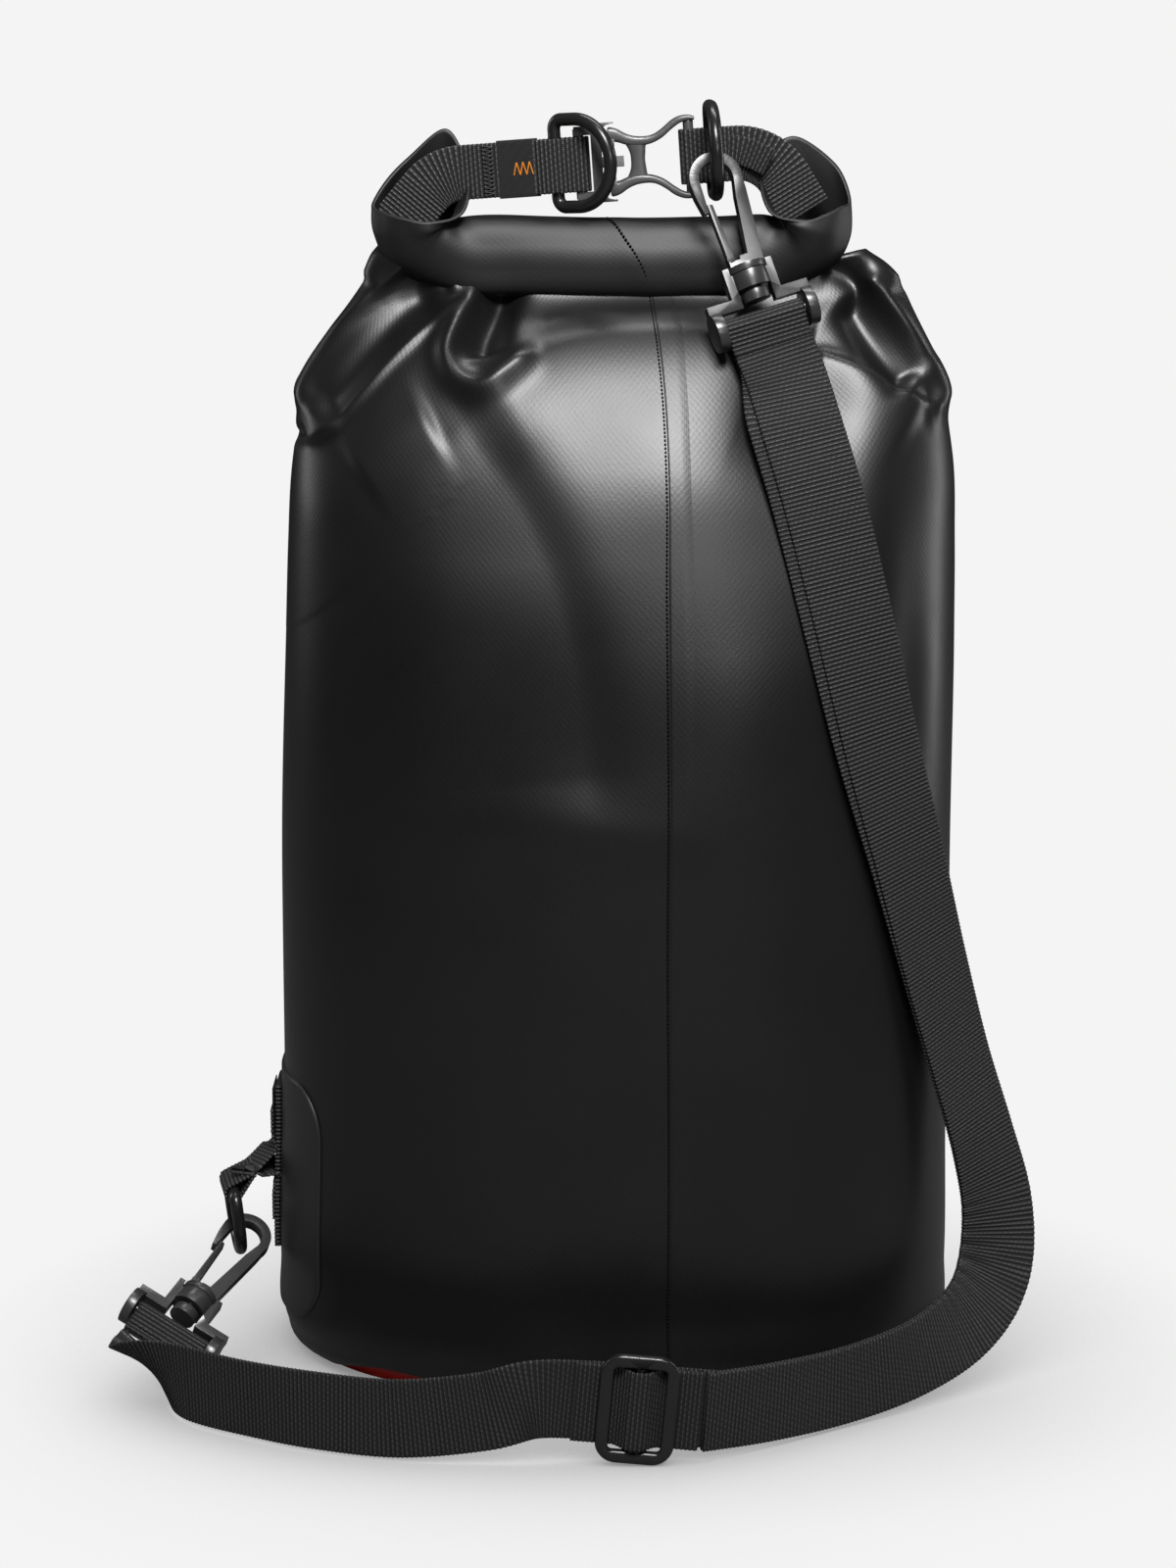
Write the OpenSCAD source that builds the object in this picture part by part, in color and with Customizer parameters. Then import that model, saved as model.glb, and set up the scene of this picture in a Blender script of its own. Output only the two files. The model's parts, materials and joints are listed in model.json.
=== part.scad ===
// Roll-top dry bag with a detachable shoulder strap. Millimetres, +Z up.
// The origin is the centre of the base on the surface that the bag stands on.
// +X runs along the roll, towards the end that carries the upper snap hook, and -Y is the
// side with the back seam.

/* [Bag] */
// Widest width of the filled bag
bag_width = 328; // [326:1:332]
// Widest depth of the filled bag
bag_depth = 202; // [198:1:208]
// Height of the filled bag up to the foot of the roll
shell_height = 515; // [512:0.5:515.5]
// Squareness of the oval section, where 2 is an ellipse
oval_power = 2.3; // [2.2:0.05:2.5]
// Thickness of the welded base panel
base_thickness = 2.4; // [1.5:0.1:3]
// Width of the welded lap along the back
seam_width = 15; // [10:1:25]

/* [Rolled mouth] */
// Radius of the roll of fabric
roll_radius = 16; // [15.8:0.1:16.4]
// Wall of the roll, which is several turns of fabric
roll_wall = 2.2; // [1.5:0.1:2.5]
// Half length of the straight part of the roll
roll_half_length = 78; // [76:1:80]
// Radius at which each end of the roll bends up
roll_bend_radius = 19; // [18.5:0.5:20]
// Angle through which each end of the roll bends
roll_bend_angle = 130; // [115:1:135]

/* [Closure] */
// Width of the closure webbing
closure_width = 25; // [24:0.5:26]
// Thickness of one layer of closure webbing
closure_thickness = 1.6; // [1.2:0.1:1.8]
// Slope of the closure along +X
closure_slope = 4; // [3:0.5:5]

/* [D-rings] */
// Diameter of the ring stock
ring_stock = 6; // [5:0.2:6.2]
// Outer length of a ring along its straight bar
ring_width = 46; // [44:0.5:47]
// Outer depth of a ring from its bar to its bow
ring_depth = 38; // [36:0.5:40]

/* [Snap hooks] */
// Thickness of the hook's flat body
hook_thickness = 6; // [5:0.2:7]
// Radius of the hook's round eye opening
eye_radius = 8; // [7.8:0.1:8.4]
// Radial clearance of each turning fit
fit = 0.05; // [0.03:0.01:0.1]

/* [Shoulder strap] */
// Width of the shoulder webbing
strap_width = 38; // [36:0.5:38]
// Thickness of one layer of shoulder webbing
strap_thickness = 1.8; // [1.4:0.1:2]

/* [Slider] */
// Length of the slider across the strap
slider_width = 52; // [50:0.5:54]
// Length of the slider along the strap
slider_length = 36; // [34:0.5:38]
// Thickness of the slider plate
slider_thickness = 4.4; // [4:0.1:5]

/* [Hidden] */
$fn = 48;

// --- Bag shell -------------------------------------------------------------------
// Each row is a height and the share of the full half width and half depth there.
shell_share = [
    [0, 0.955, 0.935],
    [4, 0.985, 0.97],
    [14, 1, 0.99],
    [45, 1, 1],
    [120, 0.988, 1],
    [200, 0.982, 0.995],
    [300, 0.972, 0.965],
    [360, 0.962, 0.905],
    [400, 0.952, 0.825],
    [440, 0.936, 0.69],
    [470, 0.902, 0.52],
    [495, 0.835, 0.345],
    [515, 0.735, 0.2]
];
shell_points = 72;
shell_start = 2.6;
half_width_at = [for (r = shell_share) [r[0], r[1] * bag_width / 2]];
half_depth_at = [for (r = shell_share) [r[0], r[2] * bag_depth / 2]];
trim_lift = 0.6;
patch_lift = 0.8;
patch_thickness = 1.4;
patch_low = 22;
patch_high = 143;
patch_half_angle = 32;
patch_corner = 26;
patch_rows = 14;
patch_columns = 12;
patch_webbing_low = 48;
patch_webbing_high = 131;
patch_tack_length = 9;
patch_tack_low = patch_webbing_low + 2;
patch_tack_high = patch_webbing_high - 2 - patch_tack_length;
// Share of the patch's reach that its rounded corners take off
patch_rounding = 0.42;
patch_webbing_x = -bag_width / 2 - patch_lift - patch_thickness - 0.1;
ring_loop_length = 21;
seam_thickness = 0.7;
seam_x = 26;

// --- Roll and closure ------------------------------------------------------------
roll_z = shell_height + 2 + roll_radius;
roll_end_radius = roll_radius - 0.5;
stiffener_half_length = 74;
layers = 2 * closure_thickness;
ring_radius = ring_stock / 2;
loop_radius = 3.3;
buckle_bar_radius = 2.5;
closure_origin = [-28, 0, 573];
// Distances along the closure from the left D-ring's bar
male_bar_x = 11;
female_bar_x = 62;
right_ring_x = 72;
left_tail = 64;
label_from = -27;
label_to = -8;
label_wall = 0.7;
tack_length = 5;
tongue_start = 11;
tongue_turn = 22;
tongue_length = 14;
tongue_height = 12;
tail_overlap = 4;
tack_left_x = -34;
right_tail_bend = 16;
right_tail_length = 40;
right_tail_slope = 16;

// --- Buckle ----------------------------------------------------------------------
buckle_thickness = 7;
buckle_half_width = 18;
arm_root = [25, 14.9];
arm_root_radius = 2.3;
arm_centre = [36, 34.5];
arm_inner_radius = 21;
arm_outer_radius = 24;
arm_thickness = 5;
arm_from = 0.6;
arm_length = 25;
arm_low = 6;
arm_height = 13;
rail_radius = 16;
rail_centre = [40, 20];
// Half height of the bars and posts, which stop short of the full half width
bar_reach = 16;
post_reach = 17;
// Half height of the window that the webbing passes through
window_reach = closure_width / 2 + 0.6;
male_post_start = 2;
male_post_length = 8;
male_bridge_start = 6;
male_bridge_length = 10.5;
male_notch_start = 10.5;
male_notch_reach = 7;
arm_notch = [4, 6.9];
arm_notch_low = 10.6;
prong_start = 8;
prong_length = 12.5;
prong_reach = 2.4;
prong_thickness = 3;
female_body_start = 33;
female_body_length = 21;
female_body_reach = 11;
female_hole_x = 50.5;
female_hole_radius = 4.6;
female_ear_start = 51.5;
female_ear_low = 7;
female_ear_length = 3.5;
female_ear_height = 10;
female_post_start = 54.9;
female_post_length = 9;
female_wall_start = 53.5;
female_wall_length = 3;

// --- Frames of the hanging parts ---------------------------------------------------
function unit(v) = v / norm(v);
// Turns closure coordinates into the part's frame
function closure_point(x, z) = closure_origin
    + [x * cos(closure_slope) - z * sin(closure_slope), 0,
       x * sin(closure_slope) + z * cos(closure_slope)];
bar_axis = [-sin(closure_slope), 0, cos(closure_slope)];
ring_leg = ring_width / 2 - ring_radius;
ring_reach = ring_depth - ring_stock;
left_ring_origin = closure_point(0, 1);
left_ring_bow = [0.78, -0.62, 0.05];
right_ring_origin = closure_point(right_ring_x, 2.5);
right_ring_bow = [0.05, -1, 0];
lower_ring_origin = [-189, -8, 78];
lower_ring_bar = [0.2, -0.98, 0];
lower_ring_bow = [0.1, 0.02, -0.99];
loop_direction = [0.75, 0.15, 0.66];
// Where each hook hangs on its ring's bow, as an angle from the middle of the bow
upper_hang_angle = 55;
lower_hang_angle = 50;
// How far the ring's stock lies below the middle of the hook's eye
hang_drop = 4;
upper_hook_direction = [0.31, -0.27, -0.91];
upper_bar_direction = [0.92, 0.25, 0.26];
lower_hook_direction = [-0.45, -0.8, -0.39];
lower_bar_direction = [0.855, -0.26, -0.451];
function bow_point(origin, bar, bow, angle) = origin
    + unit(bow) * (ring_reach - ring_leg + ring_leg * cos(angle))
    + unit(bar) * (ring_leg * sin(angle));
upper_eye = bow_point(right_ring_origin, -bar_axis, right_ring_bow, upper_hang_angle)
    - hang_drop * unit(upper_hook_direction);
lower_eye = bow_point(lower_ring_origin, lower_ring_bar, lower_ring_bow, lower_hang_angle)
    - hang_drop * unit(lower_hook_direction);

// --- Snap hook, seen along its thickness: x across, z along, eye at the origin ---------
eye_outer = 12.4;
bar_width = 7;
collar_z = -42;
collar_radius = 9;
collar_height = 3;
neck_height = 5;
hub_top = -45.2;
hub_bottom = -53;
hub_radius = 8.8;
stem_radius = 4;
stem_end = -59;
stem_head_radius = 6.5;
stem_head_height = 4.8;
post_x = 10;
post_width = 4;
yoke_height = 5;
shoulder_z = -58;
frame_bar_z = -68;
frame_bar_radius = 2.5;
frame_half_gap = 20;
disc_radius = 9;
disc_thickness = 4.6;
gate_root = [-5.8, -37.5];
gate_root_radius = 1.9;
gate_tip = [-7.9, -10.5];
gate_tip_width = 2.2;
gate_foot = 1.6;
strap_loop_radius = 2.9;
strap_loop_length = 13;

// --- Webbing folds ---------------------------------------------------------------------
fold_tuck = 0.2;
fold_gap = 0.1;
fold_joined = 4;

// --- Shoulder strap ------------------------------------------------------------------
strap_layers = 2 * strap_thickness;
slider_origin = [9, -166, 27];
slider_tilt = 5;
slider_border = 6;
slider_corner = 10;
slider_bar = 3.4;
// The webbing lies behind the slider past slider_foot and over its bar inside slider_crest
slider_foot = 9.6;
slider_crest = 3.6;
slider_slant = 1.2;
slider_gap = 0.3;
slider_reach = 29;
tack_thickness = 0.5;
stitch_height = 1.4;
stitch_thickness = 0.6;
stitch_inset = 2;
// Doubled run, from the upper hook down the bag's side and round to the slider:
// each row is a place and the direction of the strap's width there
doubled_route = [
    [[71.5, -44.2, 493.9], [0.92, 0.25, 0.26]],
    [[77, -50, 480], [0.93, 0.25, 0.24]],
    [[84, -61, 458], [0.95, 0.2, 0.2]],
    [[94, -71, 425], [0.95, 0.2, 0.15]],
    [[108, -78, 370], [0.93, 0.3, 0.15]],
    [[121, -78, 315], [0.9, 0.4, 0.15]],
    [[135, -72, 262], [0.85, 0.5, 0.12]],
    [[149, -62, 208], [0.8, 0.6, 0.1]],
    [[163, -52, 158], [0.75, 0.65, 0.1]],
    [[176, -46, 115], [0.8, 0.6, 0.1]],
    [[184, -45, 80], [0.9, 0.4, 0]],
    [[182, -54, 51], [0.85, 0.1, -0.5]],
    [[168, -74, 34], [0.5, 0, -0.87]],
    [[142, -99, 25], [0.15, 0, -1]],
    [[108, -122, 21], [0, 0, -1]],
    [[72, -145, 22], [-0.05, 0, -1]],
    [[39.9, -162.5, 24.3], [-0.09, 0, -1]]
];
// Single run, from the slider along the floor and up to the lower hook
single_route = [
    [[-23, -162.5, 30], [-0.09, 0, -1]],
    [[-38, -163, 30.5], [-0.05, 0, -1]],
    [[-62, -164, 25], [0.1, 0, -1]],
    [[-100, -162, 21], [0, 0, -1]],
    [[-140, -152, 21], [0, 0, -1]],
    [[-174, -137, 21], [0.1, 0, -1]],
    [[-200, -121, 21], [0.35, -0.2, -0.9]],
    [[-216, -106, 20.5], [0.65, -0.3, -0.7]],
    [[-222.6, -93, 19.8], [0.83, -0.29, -0.48]],
    [[-219.9, -87.3, 21.8], [0.855, -0.26, -0.451]]
];
route_steps = 3;

// --- Functions and shared shapes -------------------------------------------------------
function power_sign(v, p) = sign(v) * pow(abs(v), p);
// Point of the shell at an angle and a height, lifted off the surface
function shell_point(angle, z, lift) = [
    (lookup(z, half_width_at) + lift) * power_sign(cos(angle), 2 / oval_power),
    (lookup(z, half_depth_at) + lift) * power_sign(sin(angle), 2 / oval_power),
    z
];
// Angle at which the shell passes a given x, on the side with the seam
function angle_at_x(x, z) = -acos(power_sign(x / lookup(z, half_width_at), oval_power / 2));
function cubic(a, b, c, d, t) = 0.5 * ((2 * b) + (c - a) * t
    + (2 * a - 5 * b + 4 * c - d) * t * t + (3 * b - a - 3 * c + d) * t * t * t);
function row(route, i) = route[min(max(i, 0), len(route) - 1)];
function smooth(route) = [
    for (i = [0:len(route) - 2], s = [0:route_steps - (i == len(route) - 2 ? 0 : 1)])
        cubic(row(route, i - 1), row(route, i), row(route, i + 1), row(route, i + 2), s / route_steps)
];

// Places children drawn with their bar along x and their length along -z
module place(origin, bar, up) {
    x = unit(bar);
    z = unit(up - (up * x) * x);
    y = cross(z, x);
    multmatrix([
        [x[0], y[0], z[0], origin[0]],
        [x[1], y[1], z[1], origin[1]],
        [x[2], y[2], z[2], origin[2]],
        [0, 0, 0, 1]
    ]) children();
}

// Places children drawn in closure coordinates, x along the closure and z up
module on_closure() {
    place(closure_origin, [cos(closure_slope), 0, sin(closure_slope)], [0, 0, 1]) children();
}

// Extrudes an outline drawn in x and z through a thickness centred on y
module plate(thickness, y = 0) {
    translate([0, y + thickness / 2, 0]) rotate([90, 0, 0]) linear_extrude(thickness) children();
}

// Closed skin through rings that each have the same number of points, anticlockwise from above
module skin(rings) {
    n = len(rings[0]);
    last = len(rings) - 1;
    polyhedron(
        points = [for (r = rings, p = r) p],
        faces = concat(
            [[for (i = [0:n - 1]) i]],
            [for (k = [0:last - 1], i = [0:n - 1]) [k * n + i, (k + 1) * n + i, k * n + (i + 1) % n]],
            [for (k = [0:last - 1], i = [0:n - 1])
                [k * n + (i + 1) % n, (k + 1) * n + i, (k + 1) * n + (i + 1) % n]],
            [[for (i = [0:n - 1]) last * n + n - 1 - i]]
        )
    );
}

// Flat webbing swept along a smoothed route
module ribbon(route, width, thickness) {
    path = smooth(route);
    last = len(path) - 1;
    skin([
        for (i = [0:last])
            let (
                along = unit(path[min(i + 1, last)][0] - path[max(i - 1, 0)][0]),
                wide = unit(path[i][1] - (path[i][1] * along) * along),
                face = cross(along, wide)
            )
            [for (c = [[-1, -1], [1, -1], [1, 1], [-1, 1]])
                path[i][0] + wide * c[0] * width / 2 + face * c[1] * thickness / 2]
    ]);
}

// Outline of webbing folded round two bars, open in the middle
module fold_outline(x_from, x_to) {
    difference() {
        union() {
            translate([x_from, 0]) circle(r = loop_radius + closure_thickness);
            translate([x_to, 0]) circle(r = loop_radius + closure_thickness);
            translate([x_from, -loop_radius - closure_thickness])
                square([x_to - x_from, 2 * (loop_radius + closure_thickness)]);
        }
        translate([x_from, 0]) circle(r = loop_radius);
        translate([x_to, 0]) circle(r = loop_radius);
        translate([x_from, -loop_radius]) square([x_to - x_from, 2 * loop_radius]);
    }
}

// Outline of webbing folded round one bar, with its two layers joined beyond it
module teardrop_outline(inner, wall, reach) {
    outer = inner + wall;
    difference() {
        union() {
            circle(r = outer);
            polygon([
                [outer - fold_tuck, -1], [wall, reach], [-wall, reach], [-outer + fold_tuck, -1]
            ]);
        }
        circle(r = inner);
        polygon([
            [inner - fold_tuck, -1], [fold_gap, reach - fold_joined],
            [-fold_gap, reach - fold_joined], [-inner + fold_tuck, -1]
        ]);
    }
}

// --- Bag -------------------------------------------------------------------------------
module bag_body() {
    color([0.11, 0.11, 0.115])
        skin([
            for (z = concat([shell_start], [for (r = shell_share) if (r[0] > shell_start) r[0]]))
                [for (i = [0:shell_points - 1]) shell_point(i * 360 / shell_points, z, 0)]
        ]);
}

module base_panel() {
    color([0.72, 0.1, 0.08])
        linear_extrude(base_thickness)
            polygon([for (i = [0:shell_points - 1])
                let (p = shell_point(i * 360 / shell_points, 0, 0)) [p[0], p[1]]]);
}

module back_seam() {
    low = 6;
    high = shell_height - 8;
    color([0.08, 0.08, 0.085])
        skin([
            for (z = concat([low], [for (r = shell_share) if (r[0] > low && r[0] < high) r[0]], [high]))
                let (
                    a = angle_at_x(seam_x - seam_width / 2, z),
                    b = angle_at_x(seam_x + seam_width / 2, z)
                )
                [
                    shell_point(a, z, trim_lift + seam_thickness),
                    shell_point(b, z, trim_lift + seam_thickness),
                    shell_point(b, z, trim_lift), shell_point(a, z, trim_lift)
                ]
        ]);
}

module roll_bore(radius) {
    for (side = [0, 1])
        mirror([side, 0, 0]) {
            translate([roll_half_length, 0, roll_z + roll_bend_radius])
                rotate([90, 0, 0])
                    rotate([0, 0, -90])
                        rotate_extrude(angle = roll_bend_angle)
                            translate([roll_bend_radius, 0]) circle(r = radius);
            translate([0, 0, roll_z]) rotate([0, 90, 0]) cylinder(r = radius, h = roll_half_length);
        }
}

module roll_top() {
    color([0.12, 0.12, 0.125])
        difference() {
            roll_bore(roll_end_radius);
            roll_bore(roll_end_radius - roll_wall);
        }
}

module mouth_stiffener() {
    color([0.06, 0.06, 0.06])
        translate([-stiffener_half_length, -1, roll_z - closure_width / 2 + 1])
            cube([2 * stiffener_half_length, 2, closure_width - 2]);
}

// --- Closure webbing ----------------------------------------------------------------------
module closure_webbing_left() {
    color([0.09, 0.09, 0.09])
        on_closure()
            difference() {
                union() {
                    translate([0, 0, -closure_width / 2])
                        linear_extrude(closure_width) fold_outline(0, male_bar_x);
                    translate([-left_tail, -closure_thickness, -closure_width / 2])
                        cube([left_tail - loop_radius, layers, closure_width]);
                }
                translate([0, 0, -closure_width])
                    cylinder(r = loop_radius, h = 2 * closure_width);
            }
}

module closure_webbing_right() {
    color([0.09, 0.09, 0.09])
        on_closure()
            difference() {
                union() {
                    translate([0, 0, -closure_width / 2])
                        linear_extrude(closure_width) fold_outline(female_bar_x, right_ring_x);
                    plate(layers)
                        translate([right_ring_x + loop_radius, -closure_width / 2])
                            square([right_tail_bend - loop_radius, closure_width]);
                    translate([right_ring_x + right_tail_bend, 0, 0])
                        rotate([0, right_tail_slope, 0])
                            plate(layers)
                                translate([-tail_overlap, -closure_width / 2 + 1])
                                    square([right_tail_length - right_tail_bend, closure_width - 2]);
                }
                translate([right_ring_x, 0, -closure_width])
                    cylinder(r = loop_radius, h = 2 * closure_width);
            }
}

module webbing_tongue() {
    color([0.08, 0.08, 0.08])
        on_closure()
            translate([right_ring_x + tongue_start, -layers / 2 - tack_thickness - 0.1, 3])
                rotate([0, tongue_turn, 0])
                    plate(closure_thickness, -closure_thickness / 2)
                        translate([0, -tongue_height / 3]) square([tongue_length, tongue_height]);
}

// Box round both layers of the closure webbing, larger all round by the gap
module label_box(from, to, gap) {
    translate([from, -layers / 2 - gap, -closure_width / 2 - gap])
        cube([to - from, layers + 2 * gap, closure_width + 2 * gap]);
}

module closure_label() {
    color([0.13, 0.13, 0.13])
        on_closure()
            difference() {
                label_box(label_from, label_to, label_wall);
                label_box(label_from - 1, label_to + 1, fit);
            }
}

module bar_tack(x) {
    color([0.05, 0.05, 0.05])
        on_closure()
            translate([x, -layers / 2 - tack_thickness, -closure_width / 2 + 1])
                cube([tack_length, tack_thickness, closure_width - 2]);
}

// --- Side-release buckle --------------------------------------------------------------------
module buckle_bar(x) {
    translate([x, 0, -bar_reach]) cylinder(r = buckle_bar_radius, h = 2 * bar_reach);
}

module buckle_male() {
    color([0.2, 0.2, 0.2])
        on_closure() {
            buckle_bar(male_bar_x);
            plate(buckle_thickness)
                difference() {
                    union() {
                        translate([male_bar_x - male_post_start, -post_reach])
                            square([male_post_length, 2 * post_reach]);
                        translate([male_bar_x + male_bridge_start, -buckle_half_width])
                            square([male_bridge_length, 2 * buckle_half_width]);
                    }
                    translate([male_bar_x - male_post_start - 1, -window_reach])
                        square([male_bridge_start + male_post_start + 0.6, 2 * window_reach]);
                    for (side = [-1, 1]) {
                        translate([arm_root[0], side * arm_root[1]])
                            circle(r = arm_root_radius + fit);
                        translate([
                            arm_root[0] + 0.5,
                            side > 0 ? arm_notch_low : -arm_notch_low - arm_notch[1]
                        ])
                            square(arm_notch);
                    }
                    translate([male_bar_x + male_notch_start, -male_notch_reach])
                        square([male_notch_reach, 2 * male_notch_reach]);
                }
            plate(prong_thickness)
                translate([male_bar_x + prong_start, -prong_reach])
                    square([prong_length, 2 * prong_reach]);
        }
}

module buckle_arm(side) {
    color([0.22, 0.22, 0.22])
        on_closure()
            plate(arm_thickness)
                union() {
                    translate([arm_root[0], side * arm_root[1]]) circle(r = arm_root_radius);
                    intersection() {
                        translate([arm_centre[0], side * arm_centre[1]])
                            difference() {
                                circle(r = arm_outer_radius, $fn = 96);
                                circle(r = arm_inner_radius, $fn = 96);
                            }
                        translate([arm_root[0] + arm_from, side > 0 ? arm_low : -arm_low - arm_height])
                            square([arm_length, arm_height]);
                    }
                }
}

module buckle_female() {
    color([0.24, 0.24, 0.24])
        on_closure() {
            buckle_bar(female_bar_x);
            plate(buckle_thickness) {
                difference() {
                    translate([female_body_start, -female_body_reach])
                        square([female_body_length, 2 * female_body_reach]);
                    for (side = [-1, 1])
                        translate([rail_centre[0], side * rail_centre[1]])
                            circle(r = rail_radius, $fn = 96);
                    translate([female_hole_x, 0]) circle(r = female_hole_radius);
                }
                for (side = [0, 1])
                    mirror([0, side]) {
                        translate([female_ear_start, female_ear_low])
                            square([female_ear_length, female_ear_height]);
                        translate([female_post_start, window_reach])
                            square([female_post_length, post_reach - window_reach]);
                    }
                translate([female_wall_start, -post_reach])
                    square([female_wall_length, 2 * post_reach]);
            }
        }
}

// --- D-rings: bar along x, bow towards -z ------------------------------------------------------
module d_ring() {
    corner = 4.5;
    leg = ring_leg;
    straight = ring_reach - leg;
    color([0.1, 0.1, 0.1]) {
        translate([-leg + corner, 0, 0]) rotate([0, 90, 0])
            cylinder(r = ring_radius, h = 2 * (leg - corner));
        for (side = [0, 1])
            mirror([side, 0, 0]) {
                translate([leg - corner, 0, -corner]) rotate([90, 0, 0])
                    rotate_extrude(angle = 90) translate([corner, 0]) circle(r = ring_radius);
                translate([leg, 0, -straight]) cylinder(r = ring_radius, h = straight - corner);
            }
        translate([0, 0, -straight]) rotate([90, 0, 0]) rotate([0, 0, 180])
            rotate_extrude(angle = 180) translate([leg, 0]) circle(r = ring_radius);
    }
}

module d_ring_left() {
    place(left_ring_origin, bar_axis, -left_ring_bow) d_ring();
}

module d_ring_right() {
    place(right_ring_origin, bar_axis, -right_ring_bow) d_ring();
}

module d_ring_lower() {
    place(lower_ring_origin, lower_ring_bar, -lower_ring_bow) d_ring();
}

// --- Lower side: patch, webbing and loop ---------------------------------------------------------
// Half angle that the patch covers at a height, smaller in its rounded corners
function patch_reach(z) =
    let (edge = min(z - patch_low, patch_high - z), k = min(edge / patch_corner, 1))
    patch_half_angle * (1 - patch_rounding * (1 - sqrt(max(0, 1 - (1 - k) * (1 - k)))));

module side_patch() {
    angles = [for (c = [0:patch_columns]) 2 * c / patch_columns - 1];
    color([0.16, 0.16, 0.165])
        skin([
            for (k = [0:patch_rows])
                let (z = patch_low + (patch_high - patch_low) * k / patch_rows, reach = patch_reach(z))
                concat(
                    [for (a = angles) shell_point(180 + a * reach, z, patch_lift + patch_thickness)],
                    [for (i = [patch_columns:-1:0])
                        shell_point(180 + angles[i] * reach, z, patch_lift)]
                )
        ]);
}

module patch_webbing() {
    color([0.09, 0.09, 0.09])
        translate([patch_webbing_x - layers, -closure_width / 2, patch_webbing_low])
            cube([layers, closure_width, patch_webbing_high - patch_webbing_low]);
}

module patch_tack(z) {
    color([0.05, 0.05, 0.05])
        translate([patch_webbing_x - layers - tack_thickness, -closure_width / 2 + 1, z])
            cube([tack_thickness, closure_width - 2, patch_tack_length]);
}

module ring_loop() {
    color([0.09, 0.09, 0.09])
        place(lower_ring_origin, lower_ring_bar, loop_direction)
            translate([-closure_width / 2, 0, 0])
                rotate([90, 0, 90])
                    linear_extrude(closure_width)
                        teardrop_outline(loop_radius, closure_thickness, ring_loop_length);
}

// --- Snap hook: bar of the frame along x, hook towards +z ----------------------------------------
module hook() {
    color([0.3, 0.3, 0.3]) {
        plate(hook_thickness)
            difference() {
                union() {
                    circle(r = eye_outer);
                    polygon([
                        [eye_outer - 0.2, 2], [eye_outer - 0.6, -8], [collar_radius - 0.4, collar_z],
                        [collar_radius - 0.4 - bar_width, collar_z], [eye_outer - bar_width + 1, -8], [5, 2]
                    ]);
                    polygon([
                        [-eye_outer, 0], [-eye_outer + 0.3, -6], [-10.6, -14.5], [-8.6, -14.5],
                        [-8.2, -6], [-8, 0]
                    ]);
                }
                circle(r = eye_radius);
                polygon([
                    [-8, 0], [-8.2, -6], [-8.6, -14.5], [-8.6, -20], [0, -20], [5.2, -14], [8, -2], [8, 0]
                ]);
            }
        translate([0, 0, collar_z - collar_height + 0.2])
            cylinder(r = collar_radius, h = collar_height);
        difference() {
            translate([-collar_radius + 1.5, -hook_thickness / 2, collar_z - 0.2])
                cube([2 * collar_radius - 3, hook_thickness, neck_height]);
            translate([gate_root[0], 0, gate_root[1]]) rotate([90, 0, 0])
                cylinder(r = gate_root_radius + fit, h = 2 * hook_thickness, center = true);
            translate([gate_root[0] - 8, -hook_thickness, gate_root[1] - 1.4])
                cube([12, 2 * hook_thickness, 9]);
        }
        translate([0, 0, stem_end]) cylinder(r = stem_radius, h = collar_z - stem_end);
        translate([0, 0, stem_end]) cylinder(r = stem_head_radius, h = stem_head_height);
    }
}

module gate() {
    color([0.34, 0.34, 0.34])
        plate(hook_thickness - 1)
            union() {
                translate(gate_root) circle(r = gate_root_radius);
                polygon([
                    [gate_root[0] + gate_foot, gate_root[1]],
                    [gate_tip[0] + gate_tip_width, gate_tip[1] - 0.6],
                    gate_tip, [gate_root[0] - gate_foot, gate_root[1]]
                ]);
            }
}

module hook_frame() {
    color([0.28, 0.28, 0.28]) {
        difference() {
            union() {
                translate([0, 0, hub_bottom]) cylinder(r = hub_radius, h = hub_top - hub_bottom);
                plate(hook_thickness)
                    for (side = [-1, 1]) {
                        translate([side * post_x - post_width / 2, shoulder_z])
                            square([post_width, collar_z + 0.5 - shoulder_z]);
                        mirror([side < 0 ? 1 : 0, 0])
                            translate([post_x - post_width / 2, shoulder_z - 3])
                                square([
                                    frame_half_gap + disc_thickness + post_width / 2 - post_x,
                                    yoke_height
                                ]);
                    }
            }
            translate([0, 0, hub_bottom - 1]) cylinder(r = stem_radius + fit, h = 20);
            translate([0, 0, hub_top]) cylinder(r = collar_radius + 0.5, h = 12);
            translate([0, 0, hub_bottom - 9]) cylinder(r = stem_head_radius + 0.6, h = 8.7);
        }
        for (side = [-1, 1])
            translate([side > 0 ? frame_half_gap : -frame_half_gap - disc_thickness, 0, frame_bar_z])
                rotate([0, 90, 0]) cylinder(r = disc_radius, h = disc_thickness);
        translate([-frame_half_gap - 1, 0, frame_bar_z]) rotate([0, 90, 0])
            cylinder(r = frame_bar_radius, h = 2 * frame_half_gap + 2);
    }
}

// Webbing folded round the frame's bar
module strap_fold(wide) {
    color([0.1, 0.1, 0.1])
        translate([-wide / 2, 0, frame_bar_z])
            rotate([90, 0, 90])
                linear_extrude(wide)
                    rotate([0, 0, 180])
                        teardrop_outline(strap_loop_radius, strap_thickness, strap_loop_length);
}

module on_upper_hook() {
    place(upper_eye, upper_bar_direction, -upper_hook_direction) children();
}

module on_lower_hook() {
    place(lower_eye, lower_bar_direction, -lower_hook_direction) children();
}

// --- Slider: across the strap along z, along the strap along x ------------------------------------
module on_slider() {
    translate(slider_origin) rotate([0, slider_tilt, 0]) children();
}

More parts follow.
